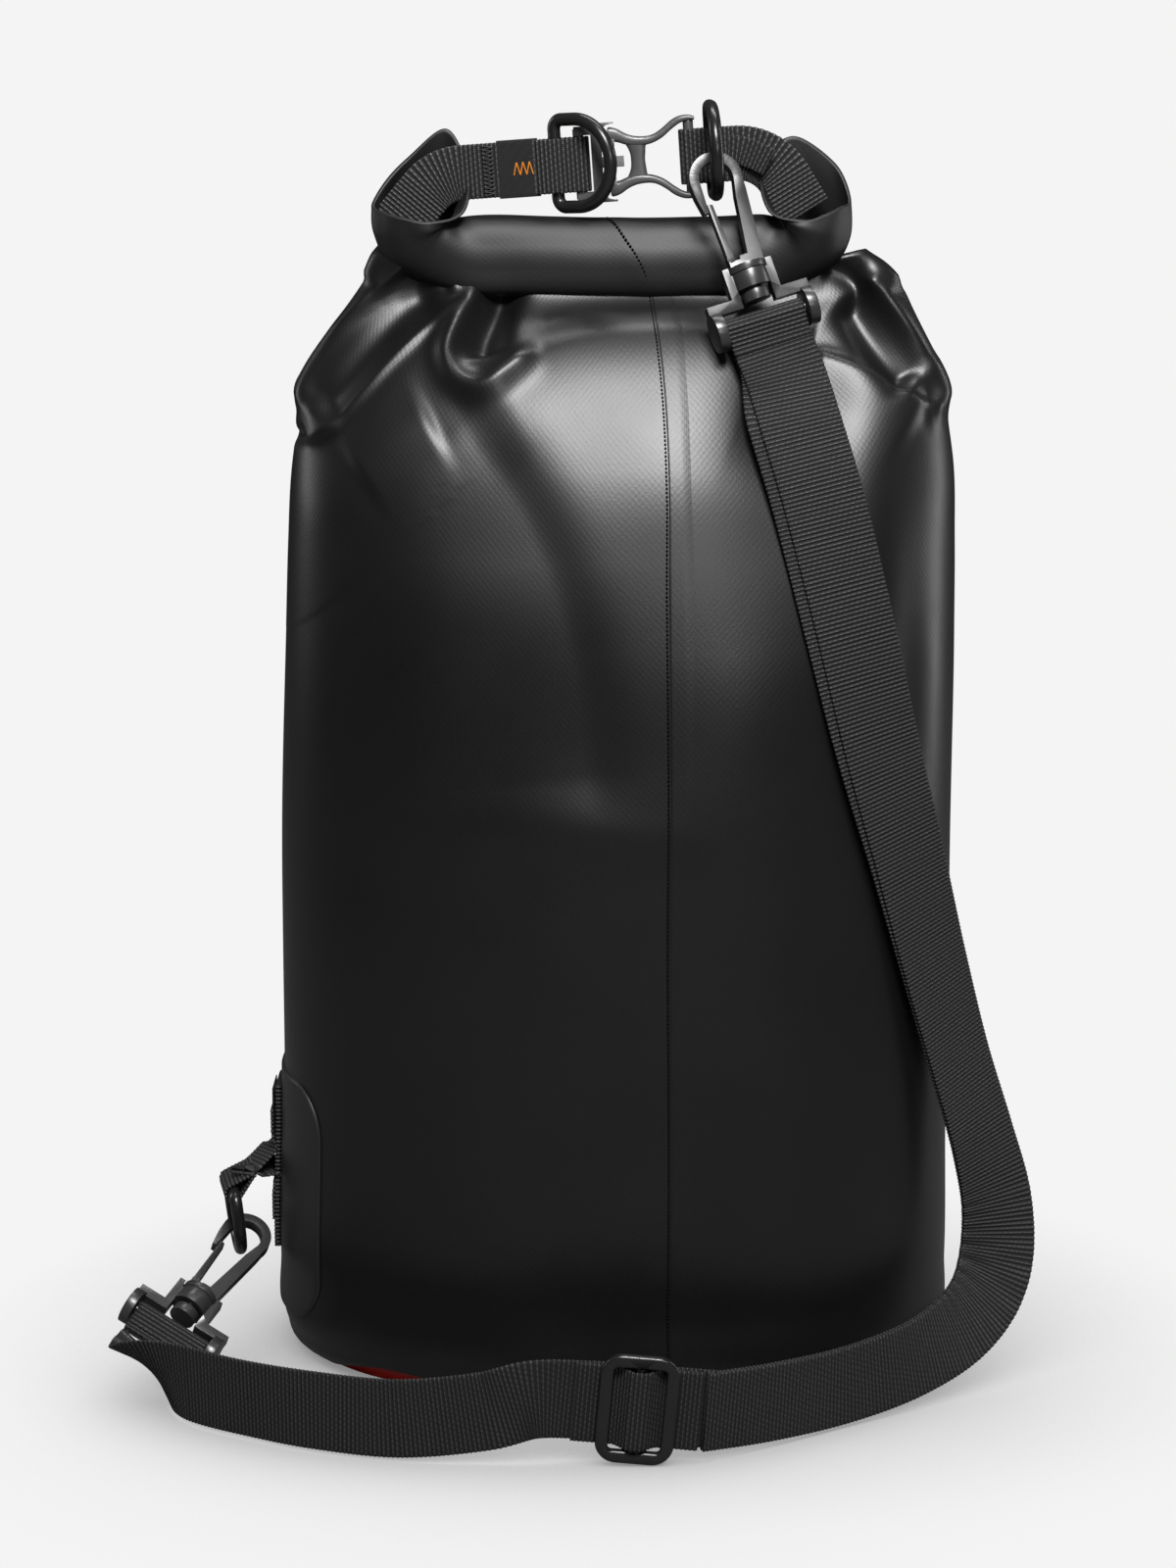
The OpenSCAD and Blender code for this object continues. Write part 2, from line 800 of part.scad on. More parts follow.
module rounded_rectangle(length, width, radius) {
    square([length, width - 2 * radius], center = true);
    square([length - 2 * radius, width], center = true);
    for (x = [-1, 1], y = [-1, 1])
        translate([x * (length / 2 - radius), y * (width / 2 - radius)]) circle(r = radius);
}

module strap_slider() {
    window = (slider_length - 2 * slider_border - slider_bar) / 2;
    color([0.07, 0.07, 0.07])
        on_slider()
            plate(slider_thickness)
                difference() {
                    rounded_rectangle(slider_length, slider_width, slider_corner);
                    for (side = [-1, 1])
                        translate([side * (slider_bar + window) / 2, 0])
                            rounded_rectangle(window, slider_width - 2 * slider_border, 2);
                }
}

// Webbing that runs behind the slider's ends and over its middle bar
module slider_webbing() {
    back = slider_thickness / 2 + slider_gap;
    front = -slider_thickness / 2 - slider_gap;
    color([0.1, 0.1, 0.1])
        on_slider()
            translate([0, 0, -strap_width / 2])
                linear_extrude(strap_width)
                    polygon([
                        [-slider_reach, back], [-slider_foot, back],
                        [-slider_crest, front - strap_thickness],
                        [slider_crest, front - strap_thickness],
                        [slider_foot, back], [slider_reach, back],
                        [slider_reach, back + strap_thickness],
                        [slider_foot - slider_slant, back + strap_thickness],
                        [slider_crest - slider_slant, front],
                        [slider_slant - slider_crest, front],
                        [slider_slant - slider_foot, back + strap_thickness],
                        [-slider_reach, back + strap_thickness]
                    ]);
}

module strap_doubled() {
    color([0.1, 0.1, 0.1]) ribbon(doubled_route, strap_width, strap_layers);
}

module strap_single() {
    color([0.1, 0.1, 0.1]) ribbon(single_route, strap_width, strap_thickness);
}

module strap_stitching() {
    color([0.05, 0.05, 0.05])
        on_lower_hook()
            translate([
                -strap_width / 2 + stitch_inset,
                -strap_thickness - stitch_thickness - tack_thickness,
                frame_bar_z - strap_loop_length + 0.4
            ])
                cube([strap_width - 2 * stitch_inset, stitch_thickness, stitch_height]);
}

bag_body();
base_panel();
back_seam();
roll_top();
mouth_stiffener();
closure_webbing_left();
closure_webbing_right();
webbing_tongue();
closure_label();
bar_tack(tack_left_x);  // bar_tack_left
bar_tack(right_ring_x + 5);  // bar_tack_right
buckle_male();
buckle_female();
buckle_arm(1);  // buckle_arm_upper
buckle_arm(-1);  // buckle_arm_lower
d_ring_left();
d_ring_right();
d_ring_lower();
side_patch();
patch_webbing();
patch_tack(patch_tack_high);  // patch_tack_upper
patch_tack(patch_tack_low);  // patch_tack_lower
ring_loop();
on_upper_hook() hook_frame();  // upper_hook_frame
on_upper_hook() hook();  // upper_hook
on_upper_hook() gate();  // upper_hook_gate
on_upper_hook() strap_fold(strap_width);  // strap_loop_upper
on_lower_hook() hook_frame();  // lower_hook_frame
on_lower_hook() hook();  // lower_hook
on_lower_hook() gate();  // lower_hook_gate
on_lower_hook() strap_fold(strap_width);  // strap_loop_lower
strap_doubled();
strap_single();
strap_slider();
slider_webbing();
strap_stitching();
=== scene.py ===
"""Roll-top dry bag with a detachable shoulder strap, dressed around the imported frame.

Lengths in the shape tables are millimetres in the frame's axes: +Z up, the back seam faces -Y.
"""
import json
import math
import bpy
import numpy as np
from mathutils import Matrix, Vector


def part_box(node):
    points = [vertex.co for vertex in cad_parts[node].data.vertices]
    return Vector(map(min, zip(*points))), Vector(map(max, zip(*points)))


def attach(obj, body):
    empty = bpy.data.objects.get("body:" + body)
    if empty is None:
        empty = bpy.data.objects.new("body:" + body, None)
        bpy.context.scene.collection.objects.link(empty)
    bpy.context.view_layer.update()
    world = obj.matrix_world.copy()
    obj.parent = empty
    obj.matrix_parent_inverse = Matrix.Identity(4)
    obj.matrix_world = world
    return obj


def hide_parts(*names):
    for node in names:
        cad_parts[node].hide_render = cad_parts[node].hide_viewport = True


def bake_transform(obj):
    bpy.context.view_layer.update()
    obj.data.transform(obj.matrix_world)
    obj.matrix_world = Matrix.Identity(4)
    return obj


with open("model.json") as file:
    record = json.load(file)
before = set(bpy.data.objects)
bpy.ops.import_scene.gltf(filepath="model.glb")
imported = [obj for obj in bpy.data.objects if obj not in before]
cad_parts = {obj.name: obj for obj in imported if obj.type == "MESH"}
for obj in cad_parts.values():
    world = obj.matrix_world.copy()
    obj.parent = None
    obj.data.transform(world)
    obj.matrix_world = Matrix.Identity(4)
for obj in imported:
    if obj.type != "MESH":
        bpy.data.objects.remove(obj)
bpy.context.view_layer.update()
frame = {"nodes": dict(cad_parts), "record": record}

MM = 0.001
UP = np.array([0.0, 0.0, 1.0])
FRONT = np.array([0.0, -1.0, 0.0])
JOINTS = {joint["name"]: joint for joint in frame["record"]["behaviour"]["joints"]}


# --- Numbers and curves ---------------------------------------
def unit(v):
    v = np.asarray(v, float)
    return v / np.linalg.norm(v)


def units(rows):
    return rows / np.linalg.norm(rows, axis=-1, keepdims=True)


def smoothstep(low, high, x):
    t = np.clip((x - low) / (high - low), 0.0, 1.0)
    return t * t * (3 - 2 * t)


def catmull(points, steps, closed=False):
    """Points on a Catmull-Rom curve through the given ones, with the ends kept."""
    p = np.asarray(points, float)
    n = len(p)
    spans = n if closed else n - 1
    out = []
    for i in range(spans):
        if closed:
            a, b, c, d = p[(i - 1) % n], p[i], p[(i + 1) % n], p[(i + 2) % n]
        else:
            a, b, c, d = p[max(i - 1, 0)], p[i], p[i + 1], p[min(i + 2, n - 1)]
        for s in range(steps):
            t = s / steps
            out.append(0.5 * (2 * b + (c - a) * t + (2 * a - 5 * b + 4 * c - d) * t * t
                              + (3 * b - a - 3 * c + d) * t ** 3))
    if not closed:
        out.append(p[-1])
    return np.array(out)


def resample(path, spacing):
    """The same curve with even steps of about the spacing. Extra columns come along."""
    path = np.asarray(path, float)
    steps = np.linalg.norm(np.diff(path[:, :3], axis=0), axis=1)
    run = np.concatenate([[0.0], np.cumsum(steps)])
    count = max(2, int(round(run[-1] / spacing)) + 1)
    even = np.linspace(0.0, run[-1], count)
    return np.stack([np.interp(even, run, path[:, k]) for k in range(path.shape[1])], axis=1), even


def smooth_rows(rows, z):
    """Columns of a table at heights z, with slopes that run on smoothly through the rows."""
    rows = np.asarray(rows, float)
    zs, values = rows[:, 0], rows[:, 1:]
    slopes = np.gradient(values, zs, axis=0)
    k = np.clip(np.searchsorted(zs, z, side="right") - 1, 0, len(zs) - 2)
    span = (zs[k + 1] - zs[k])[:, None]
    t = np.clip((z - zs[k])[:, None] / span, 0.0, 1.0)
    return (values[k] * (1 + 2 * t) * (1 - t) ** 2 + slopes[k] * span * t * (1 - t) ** 2
            + values[k + 1] * t * t * (3 - 2 * t) + slopes[k + 1] * span * t * t * (t - 1))


# --- Meshes ---------------------------------------------------
def add_object(name, data):
    obj = bpy.data.objects.new(name, data)
    bpy.context.collection.objects.link(obj)
    return obj


def piece(name, vertices, faces, weave=None):
    """A mesh object from millimetres, with the cloth coordinates that its material reads."""
    mesh = bpy.data.meshes.new(name)
    mesh.from_pydata((np.asarray(vertices, float) * MM).tolist(), [], faces)
    if weave is not None:
        layer = mesh.attributes.new("weave", "FLOAT_VECTOR", "POINT")
        flat = np.zeros((len(weave), 3), np.float32)
        flat[:, :2] = weave
        layer.data.foreach_set("vector", flat.ravel())
    mesh.polygons.foreach_set("use_smooth", [True] * len(mesh.polygons))
    mesh.update()
    return add_object(name, mesh)


def grid_faces(rows, columns, wrap):
    """Quads between rows of points, joined round into a ring when wrap is set."""
    last = columns if wrap else columns - 1
    return [
        (r * columns + c, r * columns + (c + 1) % columns,
         (r + 1) * columns + (c + 1) % columns, (r + 1) * columns + c)
        for r in range(rows - 1) for c in range(last)
    ]


def tube_faces(rows, columns, start=0):
    """Quads round a tube and a cap at each end, for vertices that count up from start."""
    faces = grid_faces(rows, columns, True)
    faces.append(tuple(range(columns - 1, -1, -1)))
    faces.append(tuple((rows - 1) * columns + c for c in range(columns)))
    return [tuple(start + corner for corner in face) for face in faces]


def capped_tube(name, rings, weave=None):
    """Closed solid through rings of points that run anticlockwise seen from its far end."""
    return piece(name, rings.reshape(-1, 3), tube_faces(*rings.shape[:2]), weave)


def finish_piece(obj, body, slot, *nodes, look=None):
    """Gives a piece its slot's material, or the look's, and says what it replaces and rides on."""
    obj.data.materials.append(MATERIALS[look or slot])
    if nodes:
        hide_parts(*nodes)
    if body:
        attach(obj, body)


# --- Camera ---------------------------------------------------
CAMERA_PLACE = (-0.0133, -1.65, 0.66)
CAMERA_PITCH = 77
CAMERA_LENS = 80.64


def make_camera():
    data = bpy.data.cameras.new("camera")
    data.lens = CAMERA_LENS
    data.sensor_width = 36
    data.dof.use_dof = False
    camera = add_object("camera", data)
    camera.location = CAMERA_PLACE
    camera.rotation_euler = (math.radians(CAMERA_PITCH), 0, 0)
    bpy.context.scene.camera = camera


# --- Materials ------------------------------------------------
class Nodes:
    """Short names for building one material."""

    def __init__(self, name):
        self.material = bpy.data.materials.new(name)
        self.material.use_nodes = True
        self.tree = self.material.node_tree
        self.shader = self.tree.nodes["Principled BSDF"]

    def add(self, kind, **settings):
        node = self.tree.nodes.new(kind)
        for key, value in settings.items():
            setattr(node, key, value)
        return node

    def link(self, source, target):
        self.tree.links.new(source, target)

    def math(self, operation, a, b=None, c=None):
        node = self.add("ShaderNodeMath", operation=operation)
        for socket, value in zip(node.inputs, (a, b, c)):
            if value is None:
                continue
            if isinstance(value, (int, float)):
                socket.default_value = value
            else:
                self.link(value, socket)
        return node.outputs[0]

    def noise(self, scale, detail):
        node = self.add("ShaderNodeTexNoise")
        node.inputs["Scale"].default_value = scale
        node.inputs["Detail"].default_value = detail
        self.link(self.add("ShaderNodeTexCoord").outputs["Object"], node.inputs["Vector"])
        return node.outputs[0]

    def weave(self):
        """Cloth coordinates in millimetres: across, then along."""
        split = self.add("ShaderNodeSeparateXYZ")
        cloth = self.add("ShaderNodeAttribute", attribute_name="weave")
        self.link(cloth.outputs["Vector"], split.inputs[0])
        return split.outputs[0], split.outputs[1]

    def wave(self, value, pitch):
        """0 to 1 and back once in every pitch."""
        turned = self.math("COSINE", self.math("MULTIPLY", value, 2 * math.pi / pitch))
        return self.math("MULTIPLY_ADD", turned, 0.5, 0.5)

    def ramp(self, value, low, high):
        node = self.add("ShaderNodeMix", data_type="RGBA")
        self.link(value, node.inputs["Factor"])
        node.inputs["A"].default_value = (*low, 1)
        node.inputs["B"].default_value = (*high, 1)
        self.link(node.outputs["Result"], self.shader.inputs["Base Color"])

    def rough(self, value, low, high):
        node = self.add("ShaderNodeMapRange")
        self.link(value, node.inputs["Value"])
        node.inputs["To Min"].default_value = low
        node.inputs["To Max"].default_value = high
        self.link(node.outputs[0], self.shader.inputs["Roughness"])

    def bump(self, height, distance, onto=None):
        node = self.add("ShaderNodeBump")
        node.inputs["Distance"].default_value = distance
        node.inputs["Strength"].default_value = 1.0
        self.link(height, node.inputs["Height"])
        if onto is not None:
            self.link(onto, node.inputs["Normal"])
        self.link(node.outputs[0], self.shader.inputs["Normal"])
        return node.outputs[0]

    def fixed(self, **values):
        for key, value in values.items():
            self.shader.inputs[key.replace("_", " ")].default_value = value
        return self.material


def tarpaulin(name, tone, weave_depth, roughness):
    """Coated fabric: the base cloth's staggered weave shows through a satin film."""
    n = Nodes(name)
    across, along = n.weave()
    columns = n.wave(across, 2.9)
    rows = n.wave(along, 3.2)
    diamonds = n.math("MULTIPLY", columns, rows)
    other = n.math("MULTIPLY", n.math("SUBTRACT", 1.0, columns), n.math("SUBTRACT", 1.0, rows))
    cloth = n.math("ADD", diamonds, other)
    threads = n.wave(across, 0.8)
    height = n.math("ADD", cloth, n.math("MULTIPLY", threads, 0.2))
    grain = n.noise(900, 2)
    broad = n.noise(14, 4)
    n.ramp(broad, [0.75 * t for t in tone], [1.25 * t for t in tone])
    n.rough(broad, roughness - 0.04, roughness + 0.05)
    wear = n.math("ADD", n.noise(70, 2), 0.2)
    first = n.bump(n.math("MULTIPLY", height, wear), 0.000026 * weave_depth)
    n.bump(grain, 0.00003, first)
    return n.fixed(Specular_IOR_Level=0.5)


def webbing(name, tone, rib=2.0, stitch=2.7):
    """Ribbed webbing: each rib is a thin row of threads in dashes. Its colour is painted light: lighter
    on the rib crests and dashes as a painted highlight, near black in the gaps between as painted
    shade.
    """
    n = Nodes(name)
    across, along = n.weave()
    ribs = n.wave(along, rib)
    row = n.math("FLOOR", n.math("ADD", n.math("DIVIDE", along, rib), 0.5))
    drift = n.noise(55, 2)
    shifted = n.math("ADD", across, n.math("MULTIPLY", row, 0.37 * stitch))
    shifted = n.math("ADD", shifted, n.math("MULTIPLY", drift, 3.0))
    dashes = n.math("POWER", n.wave(shifted, stitch), 0.6)
    fine = n.wave(across, 0.9)
    fuzz = n.noise(1300, 2)
    # Painted light: the colour is lighter on the rib crests and the weave's dashes as a painted
    # highlight, and near black in the gaps between ribs as painted shade; the fuzz is random tone.
    rib_crest_light = n.math("POWER", ribs, 2.6)
    painted_shading = n.math("MULTIPLY", rib_crest_light, n.math("MULTIPLY_ADD", dashes, 0.75, 0.5))
    painted_shading = n.math("MULTIPLY", painted_shading, n.math("ADD", fuzz, 0.45))
    n.ramp(painted_shading, [0.05 * t for t in tone], tone)
    n.rough(painted_shading, 0.8, 0.4)
    height = n.math("ADD", n.math("MULTIPLY", ribs, n.math("MULTIPLY_ADD", dashes, 0.5, 0.5)),
                    n.math("MULTIPLY", fine, 0.15))
    first = n.bump(height, 0.0004)
    n.bump(fuzz, 0.0001, first)
    return n.fixed(Specular_IOR_Level=0.5)


def moulding(name, tone, low, high, metallic=0.0):
    """Moulded plastic or die-cast metal with a fine grain and softly worn patches."""
    n = Nodes(name)
    broad = n.noise(60, 4)
    grain = n.noise(2600, 2)
    n.ramp(broad, [0.8 * t for t in tone], [1.2 * t for t in tone])
    n.rough(broad, low, high)
    n.bump(grain, 0.00002)
    return n.fixed(Metallic=metallic)


def thread(name, tone, gloss=0.5):
    """Sewing thread with a fine twist."""
    n = Nodes(name)
    n.ramp(n.noise(2200, 3), [0.5 * t for t in tone], tone)
    n.bump(n.noise(3000, 2), 0.0001)
    return n.fixed(Roughness=0.6, Specular_IOR_Level=gloss)


MATERIALS = {}


def make_materials():
    black = (0.0048, 0.0048, 0.005)
    MATERIALS.update(
        tarpaulin=tarpaulin("tarpaulin", black, 1.0, 0.37),
        roll_fabric=tarpaulin("roll_fabric", black, 1.0, 0.53),
        tarpaulin_trim=tarpaulin("tarpaulin_trim", (0.014, 0.014, 0.015), 0.2, 0.42),
        base_fabric=tarpaulin("base_fabric", (0.8, 0.03, 0.02), 0.6, 0.4),
        closure_webbing=webbing("closure_webbing", 3 * (0.062,)),
        shoulder_webbing=webbing("shoulder_webbing", 3 * (0.036,)),
        label=webbing("label", (0.05, 0.05, 0.052), rib=0.5, stitch=0.7),
        orange_thread=thread("orange_thread", (0.75, 0.24, 0.01)),
        thread=thread("thread", 3 * (0.02,)),
        seam_thread=thread("seam_thread", 3 * (0.002,), 0.1),
        buckle_plastic=moulding("buckle_plastic", 3 * (0.12,), 0.3, 0.42, metallic=0.5),
        ring_plastic=moulding("ring_plastic", 3 * (0.012,), 0.2, 0.3),
        hook_metal=moulding("hook_metal", 3 * (0.07,), 0.26, 0.38, metallic=0.6),
        slider_plastic=moulding("slider_plastic", 3 * (0.012,), 0.16, 0.26),
        stiffener=moulding("stiffener", 3 * (0.02,), 0.4, 0.5),
    )


def dress_cad(*nodes):
    """A CAD node that stays gets its slot's material."""
    slots = {part["node"]: part["material_slot"] for part in frame["record"]["subparts"]}
    for node in nodes:
        obj = frame["nodes"][node]
        obj.data.materials.clear()
        obj.data.materials.append(MATERIALS[slots[node]])


# --- Stage ----------------------------------------------------
BACKDROP = 0.905
# How far the painted contact shadow on the floor reaches
CONTACT_SHADOW_REACH = 0.16
FLOOR_REACH = 12.0


def make_stage():
    size = FLOOR_REACH
    mesh = bpy.data.meshes.new("floor")
    corners = [(-size, -size, 0), (size, -size, 0), (size, size, 0), (-size, size, 0)]
    mesh.from_pydata(corners, [], [(0, 1, 2, 3)])
    floor = add_object("floor", mesh)
    n = Nodes("floor")
    n.fixed(Base_Color=(0.16, 0.16, 0.16, 1), Roughness=1.0, Specular_IOR_Level=0.0)
    # Painted contact shadow: to the camera the floor glows at the backdrop's brightness, darkened by
    # ambient occlusion near the bag and strap.
    near = n.add("ShaderNodeAmbientOcclusion", samples=8)
    near.inputs["Distance"].default_value = CONTACT_SHADOW_REACH
    painted_shading = n.add("ShaderNodeMapRange")
    n.link(near.outputs["AO"], painted_shading.inputs["Value"])
    painted_shading.inputs["From Min"].default_value = 0.1
    painted_shading.inputs["To Min"].default_value = 0.25 * BACKDROP
    painted_shading.inputs["To Max"].default_value = BACKDROP
    glow = n.add("ShaderNodeEmission")
    n.link(painted_shading.outputs[0], glow.inputs["Strength"])
    seen = n.add("ShaderNodeMixShader")
    n.link(n.add("ShaderNodeLightPath").outputs["Is Camera Ray"], seen.inputs[0])
    n.link(n.shader.outputs[0], seen.inputs[1])
    n.link(glow.outputs[0], seen.inputs[2])
    n.link(seen.outputs[0], n.tree.nodes["Material Output"].inputs["Surface"])
    mesh.materials.append(n.material)
    world = bpy.data.worlds.new("studio")
    world.use_nodes = True
    tree = world.node_tree
    light = tree.nodes["Background"]
    light.inputs["Color"].default_value = (1, 1, 1, 1)
    strength = tree.nodes.new("ShaderNodeMapRange")
    strength.inputs["To Min"].default_value = 0.05
    strength.inputs["To Max"].default_value = BACKDROP
    path = tree.nodes.new("ShaderNodeLightPath")
    tree.links.new(path.outputs["Is Camera Ray"], strength.inputs["Value"])
    tree.links.new(strength.outputs[0], light.inputs["Strength"])
    bpy.context.scene.world = world
    bpy.context.scene.view_settings.view_transform = "Standard"


def softbox(name, place, target, width, height, power):
    data = bpy.data.lights.new(name, "AREA")
    data.shape = "RECTANGLE"
    data.size = width
    data.size_y = height
    data.energy = power
    light = add_object(name, data)
    light.location = place
    aim = Vector(target) - Vector(place)
    light.rotation_euler = aim.to_track_quat("-Z", "Y").to_euler()


def make_lights():
    softbox("key", (0.13, -1.3, 1.86), (0.0, 0.0, 0.42), 0.62, 0.6, 53)
    softbox("top_strip", (0.1, 0.25, 1.9), (0.0, 0.0, 0.5), 1.0, 0.25, 9)
    softbox("left_rim", (-1.5, 0.55, 0.8), (0.0, 0.0, 0.45), 0.2, 0.9, 3.5)
    softbox("right_rim", (1.5, 0.45, 0.6), (0.0, 0.0, 0.35), 0.2, 1.4, 7)
    softbox("hardware_glint", (0.5, -1.9, 0.95), (0.03, 0.0, 0.56), 0.4, 0.25, 5)


# --- Bag shell ------------------------------------------------
# Height, half width on the left and on the right, half depth
SHELL_ROWS = [
    (0, 152, 152, 90), (4, 158.5, 158, 95.5), (14, 163, 162, 99.5), (45, 164, 163, 101),
    (120, 162, 162, 101), (200, 161.5, 161.5, 100.5), (300, 159.5, 161, 97.5), (360, 157, 161, 91.5),
    (400, 155, 160.5, 83), (440, 152, 158.5, 69), (470, 147, 152, 52), (495, 131, 141, 33),
    (507, 122, 137, 22), (515, 117, 134, 14), (535, 108, 114, 8),
]
OVAL_POWER = 2.3
SHELL_COLUMNS = 480
SHELL_RISE = 330
TOP_MIDDLE = 521
TOP_LEFT = 536
TOP_RIGHT = 534
TABLE_TOP = 535.0
HEM_Z = 0.6
HEM_RISE = 10.0
HEM_ANGLE = math.radians(129)
HEM_REACH = 0.3
LIP_SHARE = 0.965
GIRTH_ROW = 150
CREASE_ENDS = 0.15


def crease(x, z, line, height, above, below, power):
    """Displacement of a fold that runs along a line of (x, z) points.

    The profile falls off over above on the left of the line's direction and below on the right.
    """
    points = np.asarray(catmull(line, 4), float)
    segments = np.diff(points, axis=0)
    lengths = np.linalg.norm(segments, axis=1)
    total = lengths.sum()
    best = np.full(x.shape, np.inf)
    side = np.zeros(x.shape)
    run = np.zeros(x.shape)
    start = 0.0
    for (px, pz), (dx, dz), length in zip(points[:-1], segments, lengths):
        t = np.clip(((x - px) * dx + (z - pz) * dz) / length ** 2, 0, 1)
        ox, oz = x - px - t * dx, z - pz - t * dz
        distance = np.hypot(ox, oz)
        closer = distance < best
        best = np.where(closer, distance, best)
        side = np.where(closer, dx * oz - dz * ox, side)
        run = np.where(closer, (start + t * length) / total, run)
        start += length
    width = np.where(side > 0, above, below)
    fade = smoothstep(0.0, CREASE_ENDS, run) * smoothstep(0.0, CREASE_ENDS, 1 - run)
    return height * fade * np.exp(-(best / width) ** power)


# Each fold on the seam side: line of (x, z), height, reach on its left, reach on its right, power
FOLDS = [
    # Left gusset: its bright upper edge, the trough inside it and its lower edge
    ([(-88, 537), (-100, 525), (-118, 508), (-131, 494), (-142, 478), (-149, 458)], 4.6, 2.6, 12, 1.6),
    ([(-80, 518), (-97, 508), (-114, 491), (-128, 474), (-141, 459)], -6.0, 10, 9, 2.0),
    ([(-68, 512), (-84, 504), (-102, 489), (-118, 472), (-135, 454), (-150, 447)], 3.0, 3.0, 18, 1.7),
    ([(-156, 450), (-150, 449), (-143, 451)], -3.0, 3, 3, 2.0),
    ([(-119, 524), (-106, 532), (-92, 533)], 4.0, 6, 9, 1.8),
    # Upright fold beside the left end of the roll
    ([(-72, 542), (-73, 528), (-76, 512)], 3.6, 5.0, 2.4, 1.7),
    # Hooked lobe and the deep pocket inside it
    ([(-57, 522), (-67, 512), (-75, 500), (-78, 489), (-73, 479), (-61, 475), (-47, 484), (-34, 493)],
     5.0, 5, 6, 1.8),
    ([(-51, 524), (-56, 509), (-61, 496), (-61, 487)], -8.5, 8, 8, 2.0),
    # Edge of the broad front panel, with the hollow above it
    ([(-74, 466), (-52, 478), (-30, 489), (-4, 495), (30, 497), (62, 492), (84, 482)],
     3.4, 12, 30, 2.0),
    ([(-50, 500), (-30, 507), (0, 511), (40, 510), (70, 504)], -2.2, 9, 9, 2.0),
    ([(-74, 458), (-54, 438), (-38, 410), (-25, 374), (-16, 328), (-12, 276)], -3.0, 17, 70, 2.0),
    ([(-122, 436), (-100, 452), (-82, 462)], 2.2, 14, 16, 2.0),
    # Right gusset: upper fold, upright ridge with its dark panel, lower edge
    ([(92, 537), (107, 535), (122, 527), (133, 516)], 3.2, 3.5, 6, 1.6),
    ([(96, 528), (106, 524), (116, 518)], -3.0, 5, 5, 2.0),
    ([(110, 527), (123, 513), (132, 501), (141, 487), (149, 474), (149, 466), (140, 462)],
     6.0, 7, 3.4, 1.8),
    ([(107, 516), (116, 501), (127, 486), (138, 473)], -7.0, 8, 8, 2.0),
    ([(88, 493), (106, 486), (122, 478), (135, 469), (146, 461)], 3.6, 3.0, 18, 1.7),
    ([(56, 510), (76, 500), (90, 493)], -3.0, 12, 12, 2.0),
]
BACK_FOLDS = [
    ([(-90, 534), (-110, 512), (-132, 488), (-150, 456)], 4.5, 3, 10, 1.3),
    ([(-72, 512), (-98, 496), (-122, 474), (-146, 446)], -4.5, 9, 8, 2.0),
    ([(-52, 516), (-62, 494), (-58, 470)], 4.0, 6, 7, 1.6),
    ([(90, 534), (112, 510), (134, 486), (150, 456)], 4.5, 10, 3, 1.3),
    ([(70, 512), (98, 494), (124, 474), (148, 444)], -4.5, 8, 9, 2.0),
    ([(48, 518), (60, 496), (54, 466)], 4.0, 7, 6, 1.6),
    ([(-40, 486), (0, 497), (40, 486)], 3.0, 9, 20, 1.6),
]
# Slow swells of the fabric: place (x, z), reach across and up, height
SWELLS = [
    (-60, 380, 46, 30, 1.6), (-115, 330, 22, 60, -1.6), (60, 330, 30, 40, 1.4), (-20, 290, 50, 18, 1.2),
    (-40, 250, 34, 22, -1.4), (10, 275, 26, 12, 1.2), (90, 250, 24, 60, -1.2), (-100, 200, 30, 50, 1.2),
    (40, 170, 60, 26, 1.2), (-20, 120, 44, 24, -1.2), (100, 90, 30, 40, 1.4), (-80, 60, 40, 22, 1.2),
    (30, 40, 60, 16, -1.0), (-130, 420, 18, 24, 1.8), (120, 400, 16, 40, 2.0), (135, 330, 10, 50, -1.8),
    (-66, 521, 6, 7, 2.6), (88, 470, 25, 36, -9.5),
]


def shell_base(angle, z):
    """The plain oval shell, before its folds."""
    left, right, deep = smooth_rows(SHELL_ROWS, z).T
    c, s = np.cos(angle), np.sin(angle)
    wide = np.where(c < 0, left, right)
    x = wide * np.sign(c) * np.abs(c) ** (2 / OVAL_POWER)
    y = deep * np.sign(s) * np.abs(s) ** (2 / OVAL_POWER)
    return np.stack([x, y, z], axis=-1)


def shell_relief(x, y, z):
    """How far the folds and swells lift the fabric off the plain shell."""
    front = smoothstep(14.0, -6.0, y)
    lift = np.zeros(x.shape)
    for folds, share in ((FOLDS, front), (BACK_FOLDS, 1 - front)):
        for fold in folds:
            lift += share * crease(x, z, *fold)
    for place_x, place_z, across, rise, height in SWELLS:
        lift += height * np.exp(-((x - place_x) / across) ** 2 - ((z - place_z) / rise) ** 2)
    ripple = np.sin(x / 13.0 + 0.8 * np.sin(z / 37.0)) * np.sin(z / 61.0 + x / 90.0)
    lift += 0.35 * ripple * smoothstep(500, 430, z)
    return lift


def shell_points(angle, z, lift=0.0):
    """Points of the finished shell, a little off its surface when lift is set."""
    base = shell_base(angle, z)
    step = 0.004
    around = shell_base(angle + step, z) - shell_base(angle - step, z)
    upward = (shell_base(angle, np.minimum(z + 1.0, TABLE_TOP))
              - shell_base(angle, np.maximum(z - 1.0, 0.0)))
    normal = np.cross(around, upward)
    normal /= np.maximum(np.linalg.norm(normal, axis=-1, keepdims=True), 1e-9)
    relief = shell_relief(base[..., 0], base[..., 1], base[..., 2])
    return base + normal * (relief + lift)[..., None]


